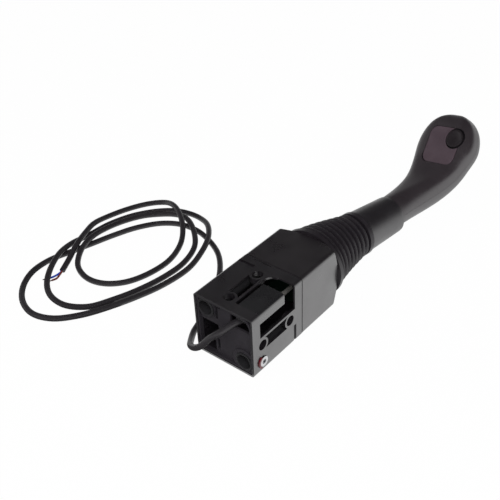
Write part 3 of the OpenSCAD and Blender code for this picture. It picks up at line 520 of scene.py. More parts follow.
class ShapeTree:
    """A geometry node tree with named inputs that ends in one dressed, realized shape."""

    def __init__(self, name: str, inputs: dict[str, tuple[str, float]]) -> None:
        """Makes the tree's sockets.

        Args:
            name: the tree's name.
            inputs: name to kind of socket and default value.
        """
        self.tree = bpy.data.node_groups.new(name, "GeometryNodeTree")
        self.identifiers: dict[str, str] = {}
        for key, (kind, value) in inputs.items():
            self._socket(key, kind).default_value = value
        self._socket("Finish", "Material")
        self.tree.interface.new_socket("Shape", in_out="OUTPUT", socket_type="NodeSocketGeometry")
        self.nodes = NodeTree(self.tree)
        self.given = self.nodes.add("NodeGroupInput")
        self.result = self.nodes.add("NodeGroupOutput")

    def _socket(self, name: str, kind: str) -> bpy.types.NodeTreeInterfaceSocket:
        """Adds one input and keeps its identifier."""
        socket = self.tree.interface.new_socket(name, in_out="INPUT", socket_type=f"NodeSocket{kind}")
        self.identifiers[name] = socket.identifier
        return socket

    def close(self, shape: bpy.types.NodeSocket) -> None:
        """Ends the tree in Realize Instances and Set Material."""
        real = self.nodes.add("GeometryNodeRealizeInstances")
        dress = self.nodes.add("GeometryNodeSetMaterial")
        self.nodes.link(shape, real.inputs["Geometry"])
        self.nodes.link(real.outputs["Geometry"], dress.inputs["Geometry"])
        self.nodes.link(self.given.outputs["Finish"], dress.inputs["Material"])
        self.nodes.link(dress.outputs["Geometry"], self.result.inputs["Shape"])

    def make(self, name: str, values: dict[str, float], finish: bpy.types.Material) -> bpy.types.Object:
        """Runs the tree once.

        Args:
            name: the piece's name.
            values: input name to value.
            finish: the material.

        Returns:
            A plain mesh object in the tree's own axes.
        """
        obj = bpy.data.objects.new(name, bpy.data.meshes.new(name))
        bpy.context.scene.collection.objects.link(obj)
        step = obj.modifiers.new("shape", "NODES")
        step.node_group = self.tree
        for key, value in values.items():
            step[self.identifiers[key]] = value
        step[self.identifiers["Finish"]] = finish
        return finished_mesh(obj, 45)


def strand_tree() -> ShapeTree:
    """Fine wires that stand in a ring round one in the middle, each a little askew, along +Z.

    Returns:
        The tree, with lengths in metres and the spread in radians.
    """
    shape = ShapeTree("BareStrands", {"Count": ("Int", 6), "Ring": ("Float", 0.00034),
                                      "Wire": ("Float", 0.00015), "Length": ("Float", 0.003),
                                      "Spread": ("Float", 0.10), "Seed": ("Int", 4)})
    nt, given = shape.nodes, shape.given
    ring = nt.add("GeometryNodeMeshCircle")
    middle = nt.add("GeometryNodeMeshLine")
    middle.inputs["Count"].default_value = 1
    places = nt.add("GeometryNodeJoinGeometry")
    wire = nt.add("GeometryNodeMeshCylinder")
    wire.inputs["Vertices"].default_value = 8
    lean = nt.add("FunctionNodeRandomValue", data_type="FLOAT_VECTOR")
    low = nt.add("ShaderNodeVectorMath", operation="SCALE")
    low.inputs["Scale"].default_value = -1.0
    span = nt.add("ShaderNodeCombineXYZ")
    spread = nt.add("GeometryNodeInstanceOnPoints")
    nt.link(given.outputs["Count"], ring.inputs["Vertices"])
    nt.link(given.outputs["Ring"], ring.inputs["Radius"])
    nt.link(ring.outputs["Mesh"], places.inputs["Geometry"])
    nt.link(middle.outputs["Mesh"], places.inputs["Geometry"])
    nt.link(given.outputs["Wire"], wire.inputs["Radius"])
    nt.link(given.outputs["Length"], wire.inputs["Depth"])
    nt.link(given.outputs["Spread"], span.inputs["X"])
    nt.link(given.outputs["Spread"], span.inputs["Y"])
    nt.link(span.outputs["Vector"], low.inputs[0])
    nt.link(low.outputs["Vector"], lean.inputs["Min"])
    nt.link(span.outputs["Vector"], lean.inputs["Max"])
    nt.link(given.outputs["Seed"], lean.inputs["Seed"])
    nt.link(places.outputs["Geometry"], spread.inputs["Points"])
    nt.link(wire.outputs["Mesh"], spread.inputs["Instance"])
    nt.link(lean.outputs["Value"], spread.inputs["Rotation"])
    shape.close(spread.outputs["Instances"])
    return shape


def spring_tree() -> ShapeTree:
    """A wire coil that stands on its foot along +Z.

    Returns:
        The tree, with lengths in metres.
    """
    shape = ShapeTree("CoilSpring", {"Turns": ("Float", 4.0), "Radius": ("Float", 0.0046),
                                     "Height": ("Float", 0.006), "Wire": ("Float", 0.0005)})
    nt, given = shape.nodes, shape.given
    coil = nt.add("GeometryNodeCurveSpiral")
    coil.inputs["Resolution"].default_value = 40
    round_wire = nt.add("GeometryNodeCurvePrimitiveCircle")
    round_wire.inputs["Resolution"].default_value = 12
    solid = nt.add("GeometryNodeCurveToMesh")
    solid.inputs["Fill Caps"].default_value = True
    nt.link(given.outputs["Turns"], coil.inputs["Rotations"])
    nt.link(given.outputs["Radius"], coil.inputs["Start Radius"])
    nt.link(given.outputs["Radius"], coil.inputs["End Radius"])
    nt.link(given.outputs["Height"], coil.inputs["Height"])
    nt.link(given.outputs["Wire"], round_wire.inputs["Radius"])
    nt.link(coil.outputs["Curve"], solid.inputs["Curve"])
    nt.link(round_wire.outputs["Curve"], solid.inputs["Profile Curve"])
    shape.close(solid.outputs["Mesh"])
    return shape


# --------------------------------------------------------------------------------------------
# Studio
# --------------------------------------------------------------------------------------------


@dataclass(frozen=True)
class Lamp:
    """One soft area lamp."""

    name: str
    place: Point
    target: Point
    size: float
    power: float

    def build(self) -> bpy.types.Object:
        """Adds the lamp, aimed at its target."""
        data = bpy.data.lights.new(self.name, "AREA")
        data.shape, data.size, data.energy = "DISK", self.size, self.power
        obj = bpy.data.objects.new(self.name, data)
        bpy.context.scene.collection.objects.link(obj)
        obj.location = self.place
        aim = Vector(self.target) - Vector(self.place)
        obj.rotation_mode = "QUATERNION"
        obj.rotation_quaternion = aim.to_track_quat("-Z", "Y")
        obj.visible_glossy = False
        return obj


@dataclass
class Studio:
    """Camera, floor, lamps and world."""

    place: Point = (-0.3660, -0.2960, 0.4128)
    right: Point = (0.62847, -0.77693, -0.03741)
    down: Point = (-0.47505, -0.34530, -0.80938)
    ahead: Point = (0.61592, 0.52644, -0.58609)
    lens: float = 57.6
    floor_share: float = 0.98
    sky: tuple[float, float] = (-0.02, 0.46)  # height of the horizon's glow and of the dark above it
    horizon: float = 0.8
    overhead: float = 0.035
    even: float = 0.45  # what lights matte faces from all round
    floor_size: float = 6.0
    floor_color: Rgb = (0.80, 0.80, 0.80)
    # painted shade: a dark, faintly glowing card on the floor that only reflections see, in place of the
    # object's shadow there
    card: tuple[tuple[float, float], ...] = ((-0.30, -0.03), (-0.055, 0.25))
    card_height: float = 0.0002
    card_light: float = 0.12
    lamps: tuple[Lamp, ...] = (
        Lamp("key", (-0.85, -0.75, 1.15), (0.05, 0.0, 0.02), 0.9, 16.0),
        Lamp("left", (-0.9, 0.5, 0.75), (0.0, 0.05, 0.02), 0.5, 3.0),
    )

    @staticmethod
    def stage_mesh(name: str, corners: list[Point]) -> tuple[bpy.types.Object, NodeTree]:
        """Adds a flat stage piece with an empty material.

        Args:
            name: the piece's and its material's name.
            corners: its four corners, anticlockwise from above.

        Returns:
            The object and its material's nodes.
        """
        mesh = bpy.data.meshes.new(name)
        mesh.from_pydata(corners, [], [(0, 1, 2, 3)])
        obj = bpy.data.objects.new(name, mesh)
        bpy.context.scene.collection.objects.link(obj)
        material = bpy.data.materials.new(name)
        material.use_nodes = True
        material.node_tree.nodes.clear()
        mesh.materials.append(material)
        return obj, NodeTree(material.node_tree)

    def camera(self) -> bpy.types.Object:
        """Adds the scene's camera."""
        data = bpy.data.cameras.new("camera")
        data.lens, data.sensor_width, data.sensor_fit = self.lens, 36.0, "HORIZONTAL"
        data.clip_start, data.clip_end = 0.01, 20.0
        obj = bpy.data.objects.new("camera", data)
        bpy.context.scene.collection.objects.link(obj)
        x, y, z = Vector(self.right), -Vector(self.down), -Vector(self.ahead)
        turn = Matrix((x, y, z)).transposed().to_4x4()
        obj.matrix_world = Matrix.Translation(Vector(self.place)) @ turn
        bpy.context.scene.camera = obj
        return obj

    def floor(self) -> bpy.types.Object:
        """Adds the pale floor, which shows white and keeps the object's soft shadow."""
        size = self.floor_size
        obj, nt = self.stage_mesh("floor", [(-size, -size, 0), (size, -size, 0), (size, size, 0),
                                            (-size, size, 0)])
        obj.location.z = -0.0001
        out = nt.add("ShaderNodeOutputMaterial")
        matte = nt.add("ShaderNodeBsdfDiffuse")
        matte.inputs["Color"].default_value = (*self.floor_color, 1)
        glow = nt.add("ShaderNodeEmission")
        glow.inputs["Color"].default_value = (1, 1, 1, 1)
        rays = nt.add("ShaderNodeLightPath")
        reflected = nt.math("MAXIMUM", rays.outputs["Is Glossy Ray"], rays.outputs["Is Transmission Ray"])
        direct = nt.math("MULTIPLY", rays.outputs["Is Camera Ray"], self.floor_share)
        share = nt.math("MAXIMUM", direct, reflected)
        mix = nt.add("ShaderNodeMixShader")
        nt.link(share, mix.inputs[0])
        nt.link(matte.outputs[0], mix.inputs[1])
        nt.link(glow.outputs[0], mix.inputs[2])
        nt.link(mix.outputs[0], out.inputs["Surface"])
        return obj

    def painted_shade_card(self) -> bpy.types.Object:
        """Adds the dark card on the floor that only reflections see: painted shade that stands in for the
        object's shadow on the floor, so that the end faces stay dark.
        """
        (x0, y0), (x1, y1) = self.card
        z = self.card_height
        obj, nt = self.stage_mesh("painted_shade_card", [(x0, y0, z), (x1, y0, z), (x1, y1, z), (x0, y1, z)])
        out = nt.add("ShaderNodeOutputMaterial")
        glow = nt.add("ShaderNodeEmission", Strength=self.card_light)
        nt.link(glow.outputs[0], out.inputs["Surface"])
        for kind in ("camera", "diffuse", "transmission", "shadow", "volume_scatter"):
            setattr(obj, f"visible_{kind}", False)
        return obj

    def world(self) -> bpy.types.World:
        """White to the camera, even to matte faces, and a pale horizon under a dark sky in reflections."""
        world = bpy.data.worlds.new("studio")
        bpy.context.scene.world = world
        world.use_nodes = True
        nt = NodeTree(world.node_tree)
        world.node_tree.nodes.clear()
        out = nt.add("ShaderNodeOutputWorld")
        place = nt.add("ShaderNodeTexCoord")
        height = nt.add("ShaderNodeSeparateXYZ")
        nt.link(place.outputs["Generated"], height.inputs["Vector"])
        sky = nt.add("ShaderNodeMapRange", interpolation_type="SMOOTHSTEP")
        for key, value in (("From Min", self.sky[0]), ("From Max", self.sky[1]),
                           ("To Min", self.horizon), ("To Max", self.overhead)):
            sky.inputs[key].default_value = value
        nt.link(height.outputs["Z"], sky.inputs["Value"])
        even = nt.add("ShaderNodeBackground", Color=(1, 1, 1, 1), Strength=self.even)
        white = nt.add("ShaderNodeBackground", Color=(1, 1, 1, 1), Strength=1.0)
        mirrored = nt.add("ShaderNodeBackground", Color=(1, 1, 1, 1))
        nt.link(sky.outputs["Result"], mirrored.inputs["Strength"])
        rays = nt.add("ShaderNodeLightPath")
        shiny = nt.add("ShaderNodeMixShader")
        mix = nt.add("ShaderNodeMixShader")
        nt.link(nt.math("MAXIMUM", rays.outputs["Is Glossy Ray"], rays.outputs["Is Transmission Ray"]),
                shiny.inputs[0])
        nt.link(even.outputs[0], shiny.inputs[1])
        nt.link(mirrored.outputs[0], shiny.inputs[2])
        nt.link(rays.outputs["Is Camera Ray"], mix.inputs[0])
        nt.link(shiny.outputs[0], mix.inputs[1])
        nt.link(white.outputs[0], mix.inputs[2])
        nt.link(mix.outputs[0], out.inputs["Surface"])
        return world

    def build(self) -> None:
        """Adds everything."""
        bpy.context.scene.view_settings.view_transform = "Standard"
        self.camera()
        self.floor()
        self.painted_shade_card()
        self.world()
        for lamp in self.lamps:
            lamp.build()


# --------------------------------------------------------------------------------------------
# Cable
# --------------------------------------------------------------------------------------------

ROUTE: tuple[Point, ...] = (
    (28, -13, 40.4), (22, -13, 40.4), (16, -13, 40.4), (10, -11.8, 41.2), (3, -8.6, 41.2),
    (-5.2, -3, 36.2), (-10.2, 4.2, 29.4), (-12.8, 11.3, 20.1), (-11.8, 19.3, 13.2),
    (-7.2, 28, 7.6), (1, 35, 3.9), (9.9, 40.5, 2.5),
    (20, 44, 2.5), (42, 53, 2.5), (64, 64, 2.5), (82, 76, 2.5), (97, 91, 2.5), (107, 109, 2.5),
    (113, 129, 2.5), (112, 149, 2.5), (102, 166, 2.5), (84, 179, 2.5), (64, 187, 2.5),
    (44, 193, 2.5), (24, 199, 2.5), (4, 205, 2.5), (-16, 204, 2.5), (-34, 194, 2.5),
    (-47, 178, 2.5), (-52, 159, 2.5), (-46, 141, 2.5), (-31, 127, 2.5), (-13, 117, 2.5),
    (12, 107, 2.5), (38, 100, 2.5), (66, 98, 2.8), (88, 102, 5.8), (106, 110, 7.8), (121, 124, 6.5),
    (129, 140, 3.5), (130, 156, 2.5), (125, 171, 2.5), (113, 185, 2.5), (95, 197, 2.5),
    (73, 204, 2.5), (50, 206, 2.5), (29, 205, 5.5), (10, 199, 7.8), (-8, 190, 5.5), (-21, 179, 2.5),
    (-29, 163, 2.5), (-29, 145, 2.5), (-19, 129, 2.5), (-2, 120, 2.5), (20, 112, 2.5),
    (45, 107, 2.5), (70, 107, 2.5), (92, 114, 4.5), (108, 130, 7.3), (117, 147, 7.8), (118, 163, 5),
    (112, 178, 2.5), (100, 189, 2.5), (82, 196, 3.5), (62, 197.5, 5.8), (44, 195, 7.8),
    (28, 190, 6.5), (14, 180, 3.5), (7, 166, 2.5), (6, 151, 2.5), (12, 137, 2.5), (25, 126, 2.5),
    (45, 120, 2.5), (67, 120, 2.5), (88, 127, 4.5), (104, 139, 8.5), (114, 152, 12.5),
    (121, 166, 12.5), (124, 181, 8.5), (117, 197, 4.5), (102, 208, 2.7), (82, 213, 3.5),
    (62, 211, 7), (46, 205, 8), (30, 198, 7.8), (14, 190.5, 4.5), (0, 184, 2.5),
)


@dataclass
class Cable:
    """The free cable with its two bare cores."""

    library: Library
    diameter: float = 0.005
    sides: int = 16
    steps: int = 6
    core_diameter: float = 0.0017
    core_sides: int = 12
    bare: float = 0.003
    sunk: float = 0.08  # share of the strands that stays inside the core

    def build(self) -> list[bpy.types.Object]:
        """Returns:
            The pieces.
        """
        route = np.array(ROUTE, float) * MM + [SHIFT, 0, 0]
        path = spline(route, self.steps)
        jacket = tube("cable_jacket", path, self.diameter / 2, self.sides)
        self.library.paint(jacket, "cable")
        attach(jacket, Body.HOUSING.value)
        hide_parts("cable")
        cores = [self.core("core_blue_skin", "core_blue", route[-1],
                           [(-0.6, 0.4, -0.5), (-5, 0.2, -1), (-10, 1.6, -1.6), (-15, 4.2, -1.6)]),
                 self.core("core_brown_skin", "core_brown", route[-1],
                           [(-1.2, -1.2, 0.6), (-5, -2.6, 0), (-9, -2.8, -1.5), (-13, -1.6, -1.6)])]
        strands = strand_tree()
        cores += [self.strands(strands, f"{c.name.removesuffix('_skin')}_strands", c) for c in cores]
        return [jacket, *cores]

    def core(self, name: str, node: str, end: np.ndarray, steps: list[Point]) -> bpy.types.Object:
        """One insulated core that comes out of the jacket's end.

        Args:
            name: the piece's name.
            node: the CAD node it stands for, which is also its finish.
            end: the end of the jacket, in metres.
            steps: its route from there, in millimetres.

        Returns:
            The core.
        """
        path = spline(end + np.array(steps) * MM, self.steps)
        obj = tube(name, path, self.core_diameter / 2, self.core_sides)
        self.library.paint(obj, node)
        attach(obj, Body.HOUSING.value)
        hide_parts(node)
        return obj

    def strands(self, tree: ShapeTree, name: str, core: bpy.types.Object) -> bpy.types.Object:
        """Bare copper strands that stand out of a core's tip.

        Args:
            tree: the strands' tree.
            name: the piece's name.
            core: the core, as made by tube().

        Returns:
            The strands.
        """
        rings = np.array([v.co for v in core.data.vertices]).reshape(-1, self.core_sides, 3).mean(axis=1)
        tip, aim = Vector(rings[-1]), Vector(rings[-1] - rings[-2]).normalized()
        obj = tree.make(name, {"Length": self.bare}, self.library.get("copper"))
        turn = aim.to_track_quat("Z", "Y").to_matrix().to_4x4()
        obj.data.transform(Matrix.Translation(tip + aim * self.bare * (0.5 - self.sunk)) @ turn)
        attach(obj, Body.HOUSING.value)
        return obj


# --------------------------------------------------------------------------------------------
# Bellows
# --------------------------------------------------------------------------------------------


@dataclass
class Bellows:
    """Rubber bellows in two pieces, split at one share of the length."""

    library: Library
    folds: int = 8
    base_r: float = 30.0
    top_r: float = 19.4
    bore_r: float = 17.3
    depth: float = 4.2
    wall: float = 1.2
    floor: float = 26.9  # below the axis, where the folds are flat because they rest
    floor_wall: float = 1.0
    start: float = 109.8
    top: float = 41.6
    pull: float = 20.0
    sides: int = 96
    rings: int = 150
    first_fold: float = 0.02
    last_fold: float = 0.93
    lip: float = 0.9  # under 1 makes the crests rounder than the roots
    base: float = 0.03
    split: float = 0.46
    tip: float = 0.96

    def centre(self, u: float) -> np.ndarray:
        """Centre of a ring.

        Args:
            u: share of the length.

        Returns:
            The centre, in millimetres from the cable end.
        """
        p0 = np.array([self.start, 0, 0])
        ahead = np.array([math.cos(LEAN), -math.sin(LEAN), 0])
        p3 = np.array([PIVOT_X, 0, 0]) + self.top * ahead
        p1, p2, v = p0 + [self.pull, 0, 0], p3 - self.pull * ahead, 1 - u
        return v**3 * p0 + 3 * v * v * u * p1 + 3 * v * u * u * p2 + u**3 * p3

    def radius(self, u: float) -> float:
        """Outer radius of a ring.

        Args:
            u: share of the length.

        Returns:
            The radius in millimetres.
        """
        low, high = self.first_fold, self.last_fold
        if u <= low:
            return self.base_r - 1 - self.depth + 1.2 * (u - low)
        if u >= high:
            return self.top_r
        s = (u - low) / (high - low)
        crest = self.base_r - 1 + (self.top_r - self.base_r + 0.6) * s
        wave = 0.5 - 0.5 * math.cos(2 * math.pi * s * self.folds)
        return crest - self.depth * (1 - wave ** self.lip)

    def inner(self, u: float) -> float:
        """Inner radius at share u."""
        return self.bore_r if u >= self.last_fold else self.radius(u) - self.wall

    def ring(self, u: float, r: float, low: float) -> np.ndarray:
        """Points of one ring, flat below.

        Args:
            u: share of the length.
            r: radius in millimetres.
            low: height of the flat, over the axis.

        Returns:
            The ring in the row frame.
        """
        c, a = self.centre(u), LEAN * u
        side = np.array([math.sin(a), math.cos(a), 0])
        t = np.linspace(0, 2 * math.pi, self.sides, endpoint=False)
        pts = c + r * np.cos(t)[:, None] * side
        pts[:, 2] = np.maximum(low, r * np.sin(t))
        return pts * MM + [SHIFT, 0, HALF]

    def piece(self, name: str, u0: float, u1: float) -> bpy.types.Object:
        """A closed shell between two shares of the length.

        Args:
            name: the piece's name.
            u0: where it starts.
            u1: where it ends.

        Returns:
            The dressed piece.
        """
        n = int((u1 - u0) * self.rings)
        us = np.linspace(u0, u1, n)
        outer = [self.ring(u, self.radius(u), -self.floor) for u in us]
        inner = [self.ring(u, self.inner(u), self.floor_wall - self.floor) for u in us]
        verts = np.vstack(outer + inner)
        faces = grid_faces(n, self.sides) + grid_faces(n, self.sides, n * self.sides, flip=True)
        for k in range(self.sides):
            a, b = k, (k + 1) % self.sides
            q, e = n * self.sides, (n - 1) * self.sides
            faces.append((a, a + q, b + q, b))
            faces.append((e + a, e + b, e + b + q, e + a + q))
        obj = mesh_object(name, verts, faces, sharp=60)
        return self.library.paint(obj, "bellows")

    def build(self) -> list[bpy.types.Object]:
        """Makes both pieces and hides the imported bellows.

        Returns:
            The pieces.
        """
        lower = self.piece("bellows_lower", 0.0, self.split)
        upper = self.piece("bellows_upper", self.split, 1.0)
        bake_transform(lower)
        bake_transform(upper)
        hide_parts("bellows")
        return [lower, upper]


# --------------------------------------------------------------------------------------------
# Grip
# --------------------------------------------------------------------------------------------


def smooth(x: float) -> float:
    """Smooth step from 0 to 1."""
    c = min(1.0, max(0.0, x))
    return c * c * (3 - 2 * c)


@dataclass(frozen=True)
class Station:
    """One cross-section of the grip, in millimetres in the handle's own axes."""

    place: np.ndarray
    ahead: np.ndarray
    far: float
    near: float
    front: float
    back: float
    square: float


@dataclass
class Grip:
    """Two moulded shells: a round neck that bends into a wide head with a flat face."""

    library: Library
    start: float = 83.0
    spigot: float = 13.4
    spigot_wall: float = 3.1
    neck: tuple[float, ...] = (14.9, 13.5, 15.7, 12.4)
    head: tuple[float, ...] = (28.0, 30.5, 12.5, 14.5)
    head_place: tuple[float, float] = (165.0, 29.0)
    near_pull: tuple[float, float] = (30.0, 1.6)  # of the centre line, from its start
    far_pull: tuple[float, float] = (140.6, 3.1)
    square_on: float = 0.077  # share of the bend over which the sections start to tilt
    shoulders: tuple[float, float] = (1.0, 3.5)  # how much narrower than the head the bend ends
    far_growth: tuple[float, ...] = (0.13, 0.95, 1.5)  # where it starts, over which share, power
    near_growth: tuple[float, ...] = (0.15, 1.02, 1.0)
    palm_swell: float = 0.6
    round_power: float = 2.0
    square_power: float = 5.0
    rear_square: float = 0.2  # the rear shell's part of that squareness
    far_rounding: tuple[float, float] = (9.5, 2.24)  # of the head: where it begins, power
    near_rounding: tuple[float, float] = (10.7, 2.1)
    front_rounding: float = 7.0
    back_rounding: float = 3.6
    foot: float = 11.0
    reach: float = 33.0
    wall: float = 2.1
    parting: float = 0.05
    panel_z: float = 10.6
    panel: tuple[float, ...] = (-15.5, 18.0, -18.5, 14.5)
    panel_corner: float = 7.0
    panel_gap: float = 0.5
    button: tuple[float, float] = (9.0, -13.0)
    bezel: float = 9.4
    spring_ends: tuple[float, float] = (3.8, 9.8)
    travel: float = 1.8
    button_hole: tuple[float, float] = (-2.0, 21.0)
    seat: float = 6.0
    boss_r: float = 4.2
    screw_head_r: float = 3.0
    shank_r: float = 1.6
    neck_screw: Point = (101.0, 0.0, 1.1)
    head_screw: Point = (21.0, 7.0, 0.0)
    fairing: float = 4.5
    settle: tuple[float, float] = (14.0, 24.0)  # at the sleeve and at the tip, where it fades out
    tip_share: float = 0.9985  # of the head, where the last ring closes it
    bend_rings: int = 52
    head_rings: int = 44
    arc: int = 44
    crease: float = 35.0  # edges steeper than this stay sharp
    bend: np.ndarray = field(init=False)

    def __post_init__(self) -> None:
        """Works out the centre line's control points."""
        aim = np.array([math.cos(HEAD_ANGLE), math.sin(HEAD_ANGLE)])
        first = np.array([self.start, 0])
        self.bend = np.array([first, first + self.near_pull, self.far_pull,
                              np.array(self.head_place) - self.foot * aim])

    def bend_station(self, u: float) -> Station:
        """Section in the bend.

        Args:
            u: share of the bend, from the sleeve to the head.

        Returns:
            The section.
        """
        b, v = self.bend, 1 - u
        place = v**3 * b[0] + 3 * v * v * u * b[1] + 3 * v * u * u * b[2] + u**3 * b[3]
        ahead = v * v * (b[1] - b[0]) + 2 * v * u * (b[2] - b[1]) + u * u * (b[3] - b[2])
        ahead = ahead / np.linalg.norm(ahead)
        level = smooth(u / self.square_on)
        ahead = (1 - level) * np.array([1.0, 0.0]) + level * ahead
        (nf, nn, nt, nb), (hf, hn, ht, hb) = self.neck, self.head
        grown = [smooth((u - begin) / over) ** power
                 for begin, over, power in (self.far_growth, self.near_growth)]
        return Station(place, ahead / np.linalg.norm(ahead),
                       nf + (hf - self.shoulders[0] - nf) * grown[0],
                       nn + (hn - self.shoulders[1] - nn) * grown[1],
                       nt + (ht - nt) * smooth(u),
                       nb + (hb - nb) * smooth(u) + self.palm_swell * math.sin(math.pi * u) ** 2,
                       self.round_power + (self.square_power - self.round_power) * smooth(u * 1.1))

    def head_station(self, e: float) -> Station:
        """Section of the head.

        Args:
            e: distance from the end of the bend, in millimetres.

        Returns:
            The section.
        """
        straight, last = self.reach + self.foot, self.bend_station(1.0)
        aim = np.array([math.cos(HEAD_ANGLE), math.sin(HEAD_ANGLE)])
        share = e / straight

        def width(begin: float, full: float, turn: float, power: float) -> float:
            """Half width that grows from begin to full, then rounds off after turn."""
            past = max(0.0, (e - turn) / (straight - turn))
            grow = math.sin(math.pi / 2 * min(1.0, e / (turn + 1)))
            return (begin + (full - begin) * grow) * math.sqrt(max(0.0, 1 - past**power))

        return Station(self.bend[3] + e * aim, aim,
                       width(last.far, self.head[0], *self.far_rounding),
                       width(last.near, self.head[1], *self.near_rounding),
                       self.head[2] * math.sqrt(max(0.0, 1 - share**self.front_rounding)),
                       self.head[3] * math.sqrt(max(0.0, 1 - share**self.back_rounding)),
                       self.square_power)

    def stations(self) -> list[Station]:
        """All sections from the sleeve to the tip, with the kink between bend and head smoothed out.

        Returns:
            The sections.
        """
        straight = self.reach + self.foot
        rough = [self.bend_station(i / self.bend_rings) for i in range(self.bend_rings + 1)]
        turns = [math.sin(math.pi / 2 * i / self.head_rings) for i in range(1, self.head_rings)]
        rough += [self.head_station(straight * t) for t in (*turns, self.tip_share)]
        rows = np.array([[*st.place, *st.ahead, st.far, st.near, st.front, st.back, st.square]
                         for st in rough])
        run = np.concatenate([[0], np.cumsum(np.linalg.norm(np.diff(rows[:, :2], axis=0), axis=1))])
        share = np.gradient(run)
        out = []
        for row, at in zip(rows, run):
            spread = self.fairing * smooth(min(at / self.settle[0], (run[-1] - at) / self.settle[1]))
            if spread > 0.05:
                weight = share * np.exp(-0.5 * ((run - at) / spread) ** 2)
                row = weight @ rows / weight.sum()
            out.append(Station(row[:2], row[2:4] / np.linalg.norm(row[2:4]), *row[4:]))
        return out

    def outline(self, st: Station, side: Side, shrink: float) -> np.ndarray:
        """Half of a section's outline, evenly spaced, from the far parting edge to the near one.

        Args:
            st: the section.
            side: the shell it is for.
            shrink: how far the line lies inside the outer one.

        Returns:
            Points in the handle's axes, in millimetres.
        """
        extra = (st.square - self.round_power) * (1 if side is Side.FRONT else self.rear_square)
        n = self.round_power + extra
        depth = max(0.0, (st.front if side > 0 else st.back) - shrink)
        a = np.linspace(0, math.pi, 721)
        c, s = np.cos(a), np.abs(np.sin(a))
        half = np.where(c > 0, max(0.3, st.far - shrink), max(0.3, st.near - shrink))
        y = half * np.sign(c) * np.abs(c) ** (2 / n)
        z = depth * s ** (2 / n)
        run = np.concatenate([[0], np.cumsum(np.hypot(np.diff(y), np.diff(z)))])
        even = np.linspace(0, run[-1], self.arc + 1)
        y, z = np.interp(even, run, y), np.interp(even, run, z)
        z = side * (self.parting + z)
        return np.stack([st.place[0] - z * st.ahead[1], y, st.place[1] + z * st.ahead[0]], axis=1)

    @staticmethod
    def placed(points: np.ndarray) -> np.ndarray:
        """Carries millimetre points from the handle's axes to the row frame, in metres."""
        turn = Matrix.Rotation(-LEAN, 3, "Z") @ Matrix.Rotation(-TURN, 3, "X")
        return points @ np.array(turn).T * MM + np.array(PIVOT)

    def on_head(self, points: np.ndarray) -> np.ndarray:
        """Carries points from the head's own axes to the row frame."""
        turn = np.array(Matrix.Rotation(-HEAD_ANGLE, 3, "Y"))
        return self.placed(points @ turn.T + [self.head_place[0], 0, self.head_place[1]])

    def shell(self, name: str, side: Side) -> bpy.types.Object:
        """A closed shell with its wall and the spigot that sits in the sleeve.

        Args:
            name: the piece's name.
            side: which half it is.

        Returns:
            The shell, before its openings are cut.
        """
        ahead = np.array([1.0, 0.0])
        spigot = [Station(np.array([x, 0.0]), ahead, *([self.spigot] * 4), 2.0)
                  for x in (self.start - 6, self.start)]
        parts = ((spigot, self.spigot_wall), (self.stations(), self.wall))
        rings = [np.vstack([self.outline(st, side, 0), self.outline(st, side, wall)[::-1]])
                 for part, wall in parts for st in part]
        count = 2 * self.arc + 2
        verts = self.placed(np.vstack(rings))
        faces = grid_faces(len(rings), count)
        top = (len(rings) - 1) * count
        for k in range(self.arc):
            low = (k, k + 1, count - 2 - k, count - 1 - k)
            faces.append(low)
            faces.append(tuple(top + i for i in low[::-1]))
        if side < 0:
            faces = [f[::-1] for f in faces]
        return mesh_object(name, verts, [f[::-1] for f in faces], sharp=self.crease)

    @staticmethod
    def prism(name: str, outline: np.ndarray, z0: float, z1: float, place: Place) -> bpy.types.Object:
        """A closed prism over an outline that runs anticlockwise, carried to its place.

        Args:
            name: the cutter's name.
            outline: points in X and Y.
            z0: its foot.
            z1: its top.
            place: carries an array of points to the row frame.

        Returns:
            The cutter.
        """
        n = len(outline)
        points = np.vstack([np.column_stack([outline, np.full(n, z)]) for z in (z0, z1)])
        faces = [tuple(range(n - 1, -1, -1)), tuple(range(n, 2 * n))]
        faces += [(k, (k + 1) % n, n + (k + 1) % n, n + k) for k in range(n)]
        return mesh_object(name, place(points), faces)

    @staticmethod
    def circle(x: float, y: float, r: float, n: int = 64) -> np.ndarray:
        """Points of a circle about x, y."""
        a = np.linspace(0, 2 * math.pi, n, endpoint=False)
        return np.stack([x + r * np.cos(a), y + r * np.sin(a)], axis=1)

    def panel_outline(self) -> np.ndarray:
        """The finger panel's rounded outline, a gap larger all round.

        Returns:
            Points in the head's own axes.
        """
        x0, x1, y0, y1 = self.panel
        g, r = self.panel_gap, self.panel_corner
        corners = ((x1 + g - r, y1 + g - r, 0), (x0 - g + r, y1 + g - r, 1),
                   (x0 - g + r, y0 - g + r, 2), (x1 + g - r, y0 - g + r, 3))
        out = []
        for x, y, quarter in corners:
            a = np.radians(np.linspace(90 * quarter, 90 * quarter + 90, 13))
            out.append(np.stack([x + r * np.cos(a), y + r * np.sin(a)], axis=1))
        return np.vstack(out)

    def cut(self, obj: bpy.types.Object, tools: list[tuple[bpy.types.Object, Cut]]) -> bpy.types.Object:
        """Joins or cuts the tools, and leaves a plain mesh.

        Args:
            obj: the shell.
            tools: tools, each with what it does.

        Returns:
            The shell with its new mesh.
        """
        for tool, operation in tools:
            step = obj.modifiers.new("cut", "BOOLEAN")
            step.operation, step.solver, step.object = operation.value, "EXACT", tool
        finished_mesh(obj, self.crease)
        for tool, _ in tools:
            bpy.data.objects.remove(tool)
        return obj

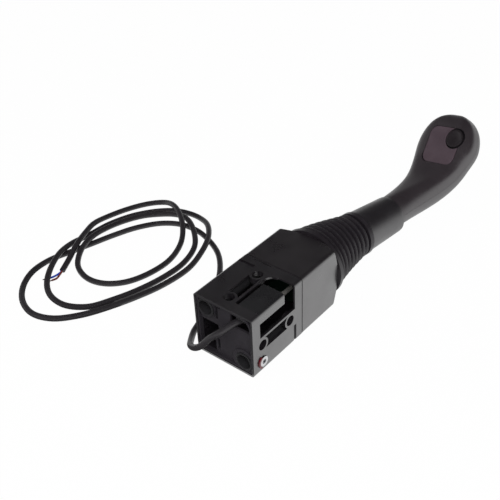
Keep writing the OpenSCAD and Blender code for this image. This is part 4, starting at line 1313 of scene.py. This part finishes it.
    def screw_tools(self) -> list[tuple[bpy.types.Object, Cut]]:
        """Bosses and stepped holes of the two screws that hold the shells together.

        Returns:
            The tools, bosses first.
        """
        places = ((self.placed, self.neck_screw, 11.5), (self.on_head, self.head_screw, 9.5))
        tools = []
        for carry, (x, y, z), depth in places:
            boss = self.prism("boss", self.circle(x, y, self.boss_r), z - depth, z - self.parting, carry)
            tools.append((boss, Cut.JOIN))
        for carry, (x, y, z), _ in places:
            head = self.prism("head_hole", self.circle(x, y, self.screw_head_r, 48),
                              z - 30, z - self.seat, carry)
            shank = self.prism("shank_hole", self.circle(x, y, self.shank_r, 32),
                               z - self.seat - 1, z + 1, carry)
            tools += [(head, Cut.TAKE), (shank, Cut.TAKE)]
        return tools

    def build(self) -> list[bpy.types.Object]:
        """Makes both shells, cuts their openings, and hangs them on the lever with the spring.

        Returns:
            The pieces.
        """
        hole = self.circle(*self.button, self.bezel)
        recess = self.prism("panel_cut", self.panel_outline(), self.panel_z, 30.0, self.on_head)
        bore = self.prism("button_cut", hole, *self.button_hole, self.on_head)
        front = self.cut(self.shell("grip_front_shell", Side.FRONT), [(recess, Cut.TAKE), (bore, Cut.TAKE)])
        rear = self.cut(self.shell("grip_rear_shell", Side.REAR), self.screw_tools())
        for obj, node in ((front, "grip_front"), (rear, "grip_rear")):
            self.library.paint(obj, node)
            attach(obj, Body.LEVER.value)
            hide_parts(node)
        return [front, rear, self.spring()]

    def spring(self) -> bpy.types.Object:
        """Return spring under the button.

        Returns:
            The spring.
        """
        foot, top = self.spring_ends
        steel = self.library.get("steel")
        obj = spring_tree().make("return_spring", {"Height": (top - foot) * MM}, steel)
        points = np.array([v.co for v in obj.data.vertices]) / MM + [*self.button, foot]
        obj.data.vertices.foreach_set("co", self.on_head(points).ravel())
        obj.data.update()
        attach(obj, Body.LEVER.value)
        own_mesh(obj)
        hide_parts("button_spring")
        return obj


# --------------------------------------------------------------------------------------------
# Carried-over nodes
# --------------------------------------------------------------------------------------------


def paint_nodes(frame: dict, library: Library) -> None:
    """Gives every frame node that is still shown its finish.

    Args:
        library: the finishes.
    """
    slots = {s["node"]: s["material_slot"] for s in frame["record"]["subparts"]}
    for node, obj in frame["nodes"].items():
        if not obj.hide_render:
            library.paint(obj, slots[node])


def main() -> None:
    """Builds the scene and reports its pieces."""
    logging.basicConfig(level=logging.INFO)
    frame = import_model()
    library = Library()
    Studio().build()
    for assembly in (Cable(library), Bellows(library), Grip(library)):
        for piece in assembly.build():
            LOG.info("%s: %d faces", piece.name, len(piece.data.polygons))
    paint_nodes(frame, library)


if __name__ == "__main__":
    main()
